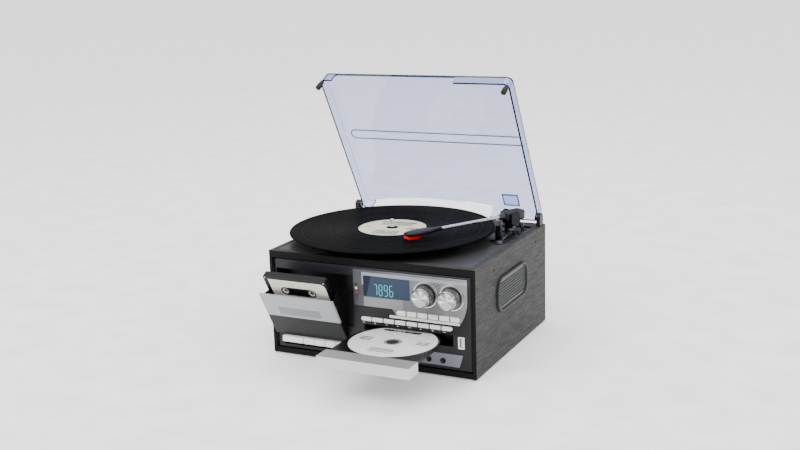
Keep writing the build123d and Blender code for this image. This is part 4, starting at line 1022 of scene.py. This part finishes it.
def makeGrilles(look):
    high, long, corner = look["height"] / 2, look["length"] / 2, look["corner"]
    pitch, rimWidth, level = look["pitch"], look["rimWidth"], look["level"]
    rowStep = pitch * math.sqrt(3) / 2
    hexagon = [(math.cos(math.radians(60 * k)), math.sin(math.radians(60 * k))) for k in range(6)]
    rims, sheets, cloths = bmesh.new(), bmesh.new(), bmesh.new()

    def inset(x, y):
        # How far a point lies inside the rounded outline.
        right, top = abs(x) - (high - corner), abs(y) - (long - corner)
        return corner - math.hypot(max(right, 0), max(top, 0)) - min(max(right, top), 0)

    def outlineAt(gap, rise):
        outline = roundedOutline(gap - high, high - gap, gap - long, long - gap, corner - gap, 10)
        return [(x, y, rise) for x, y in outline]

    def cell(matrix, x, y, reach, depth):
        return [sheets.verts.new(matrix @ Vector(((x + a * reach) * mm, (y + b * reach) * mm, depth * mm)))
                for a, b in hexagon]

    lowest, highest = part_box("side_panels")
    for direction, side in (("right", highest.x / mm), ("left", lowest.x / mm)):
        matrix = facing(direction, side, *look["centre"])
        bridge(rims, [outlineAt(gap, rise) for gap, rise in look["rim"]], matrix)
        gap = rimWidth - look["clothTuck"]
        ends = bridge(cloths, [outlineAt(gap, rise) for rise in look["cloth"]], matrix)
        cloths.faces.new(ends[1])
        for row in range(-int(high / rowStep) - 1, int(high / rowStep) + 2):
            for column in range(-int(long / pitch) - 2, int(long / pitch) + 3):
                x, y = row * rowStep, (column + (row % 2) / 2) * pitch
                room = inset(x, y)
                if room < rimWidth - look["meshTuck"]:
                    continue
                edge = cell(matrix, x, y, pitch / math.sqrt(3), level)
                if room < rimWidth + look["unpierced"]:
                    sheets.faces.new(edge)
                    continue
                hole = cell(matrix, x, y, look["hole"], level)
                deep = cell(matrix, x, y, look["hole"], level - look["depth"])
                for k in range(6):
                    after = (k + 1) % 6
                    sheets.faces.new((edge[k], edge[after], hole[after], hole[k]))
                    sheets.faces.new((hole[k], hole[after], deep[after], deep[k]))
    bmesh.ops.remove_doubles(sheets, verts=sheets.verts, dist=look["weld"])
    keep("grille_rims", rims, finishes["rimPlastic"], "cabinet", angle=0.9)
    keep("grille_cloth", cloths, finishes["driverPaint"], "cabinet")
    metal = plastic("grilleMesh", look["mesh"], 0.4, bump=0.03, metal=0.5)
    return keep("grille_mesh", sheets, metal, "cabinet", ("speaker_grilles",))


makeGrilles(grilleLook)

backLook = {"screws": ((-140, 30), (140, 30), (-140, 130), (140, 130), (0, 30)), "screwRadius": 2.6,
            "rings": ((-112, 46, rgb(228, 228, 226)), (-112, 28, rgb(196, 24, 28))),
            "ring": ((4.6, -0.1), (4.6, 0.5), (4.2, 0.8), (3.7, 0.8), (3.5, 0.5), (3.5, -0.1))}


def makeBackPieces(look):
    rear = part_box("back_panel")[1].y / mm
    makeScrews("back_screws", [(x, rear, z) for x, z in look["screws"]], "back", look["screwRadius"],
               "cabinet", finishes["darkSteel"])
    for number, (x, z, colour) in enumerate(look["rings"], 1):
        turnedPiece(f"socket_ring_{number}", [(look["ring"], facing("back", x, rear, z))],
                    plastic(f"ringColour{number}", colour, 0.35), "cabinet", 36, closed=True)


makeBackPieces(backLook)

print("stage: lid")
lidLook = {
    "tint": (0.12, 0.23, 0.72, 1), "density": 205.0, "rough": 0.01, "edge": rgb(24, 27, 46),
    "open": math.radians(60.8), "hinge": (0, 0.126, 0.1666), "panel": 0.1865, "front": -0.1135, "steep": 0.7,
    "bend": (0.3, 0.9, 0.1), "scratches": 35.0, "index": 1.45,
    "cut": (-0.1358, 0.0698), "guard": ((92, 117.6), (101.4, 123.4)), "guardTint": rgb(196, 205, 236)}


def makeLid(look):
    made, shader, coords = startMaterial("lidClear")
    # The lid's own shut position, where its panel lies flat.
    fromHinge = vectorNode("SUBTRACT", coords, look["hinge"])
    turned = (look["open"], 0, 0)
    across, along, up = axes(mapped(fromHinge, Location=look["hinge"], Rotation=turned))
    _, backward, upward = axes(mapped(coords.node.outputs["Normal"], Rotation=turned))
    # Painted shade: the sawn rims of the walls, rib and guard, the record's cut and the front edge are
    # painted dark.
    rims = product(under(upward, -look["steep"]), under(up, look["panel"]))
    cut = product(over(backward, look["steep"]), between(across, *look["cut"]),
                  over(up, look["panel"]))
    bend = product(under(along, look["front"]), between(upward, *look["bend"]))
    clearest = paint((1, 1, 1, 1), across, along, look["guard"], look["guardTint"])
    feed(shader, Base_Color=mixColour(largest(rims, cut, bend), clearest, look["edge"]),
         Roughness=fit(noise(coords, look["scratches"], 4.0), 0.03, look["rough"]),
         IOR=look["index"], Transmission_Weight=1.0)
    tree = made.node_tree
    volume = place(tree, "VolumeAbsorption", {"Color": look["tint"], "Density": look["density"]})
    feed(tree.nodes["Material Output"], Volume=volume.outputs[0])
    return made


dress(makeLid(lidLook), "lid")

print("stage: camera, lights and floor")
cameraSettings = {"azimuth": 26.62, "elevation": 13.35, "roll": -1.80, "distance": 1.6726,
                  "target": (-0.01804, 0.0, 0.17009), "lens": 50.97, "sensor": 36.0}


def makeCamera(settings):
    azimuth, elevation, roll = (math.radians(settings[key]) for key in ("azimuth", "elevation", "roll"))
    level = math.cos(elevation)
    back = Vector((math.sin(azimuth) * level, -math.cos(azimuth) * level, math.sin(elevation)))
    right = Vector((math.cos(azimuth), math.sin(azimuth), 0))
    up = back.cross(right)
    rolledRight = math.cos(roll) * right + math.sin(roll) * up
    rolledUp = -math.sin(roll) * right + math.cos(roll) * up
    data = bpy.data.cameras.new("camera")
    data.lens, data.sensor_width = settings["lens"], settings["sensor"]
    camera = bpy.data.objects.new("camera", data)
    bpy.context.scene.collection.objects.link(camera)
    turned = Matrix((rolledRight, rolledUp, back)).transposed().to_4x4()
    turned.translation = Vector(settings["target"]) + back * settings["distance"]
    camera.matrix_world = turned
    bpy.context.scene.camera = camera


makeCamera(cameraSettings)

lights = {
    "keyLight": dict(location=(-1.2, -1.8, 2.2), size=(1.6, 1.2), power=34),
    "sideLight": dict(location=(2.4, -0.9, 1.3), size=(1.2, 1.2), power=14),
    "topLight": dict(location=(0.1, 0.8, 2.4), size=(1.4, 1.0), power=18, target=(0, 0, 0.15)),
    "backLight": dict(location=(-1.45, 2.9, 0.98), size=(0.6, 0.45), power=1.0, target=(0.05, 0, 0.16)),
}


def areaLight(name, location, size, power, target=(0, 0, 0.1)):
    data = bpy.data.lights.new(name, "AREA")
    data.shape = "RECTANGLE"
    data.size, data.size_y = size
    data.energy = power
    light = bpy.data.objects.new(name, data)
    bpy.context.scene.collection.objects.link(light)
    light.location = location
    light.rotation_euler = (Vector(target) - Vector(location)).to_track_quat("-Z", "Y").to_euler()


for name, settings in lights.items():
    areaLight(name, **settings)

skyLook = {"shades": [(0.0, 0.10), (0.22, 0.16), (0.5, 0.8), (0.8, 1.0)], "backdrop": (0.68, 0.68, 0.68, 1),
           "strength": 2.0}


def makeSky(look):
    world = bpy.data.worlds.new("studio")
    world.use_nodes = True
    sky = world.node_tree
    height = axes(place(sky, "TexCoord").outputs["Generated"])[2]
    seen = place(sky, "LightPath").outputs["Is Camera Ray"]
    colour = mixColour(seen, ramp(height, look["shades"]), look["backdrop"])
    feed(sky.nodes["Background"], Color=colour, Strength=look["strength"])
    bpy.context.scene.world = world


makeSky(skyLook)

floorLook = {"left": -30, "right": 30, "front": -30, "back": 60, "paint": rgb(247, 247, 247), "glow": 0.3}


def makeFloor(look):
    left, right, front, back = (look[key] for key in ("left", "right", "front", "back"))
    corners = [(left, front, 0), (right, front, 0), (right, back, 0), (left, back, 0)]
    mesh = bpy.data.meshes.new("floor")
    mesh.from_pydata(corners, [], [(0, 1, 2, 3)])
    floor = bpy.data.objects.new("floor", mesh)
    bpy.context.scene.collection.objects.link(floor)
    material = plastic("floorPaint", look["paint"], 0.85, grain=40.0, bump=0.0, specular=0.1)
    shader = material.node_tree.nodes["Principled BSDF"]
    feed(shader, Emission_Color=(1, 1, 1, 1), Emission_Strength=look["glow"])
    floor.data.materials.append(material)


makeFloor(floorLook)
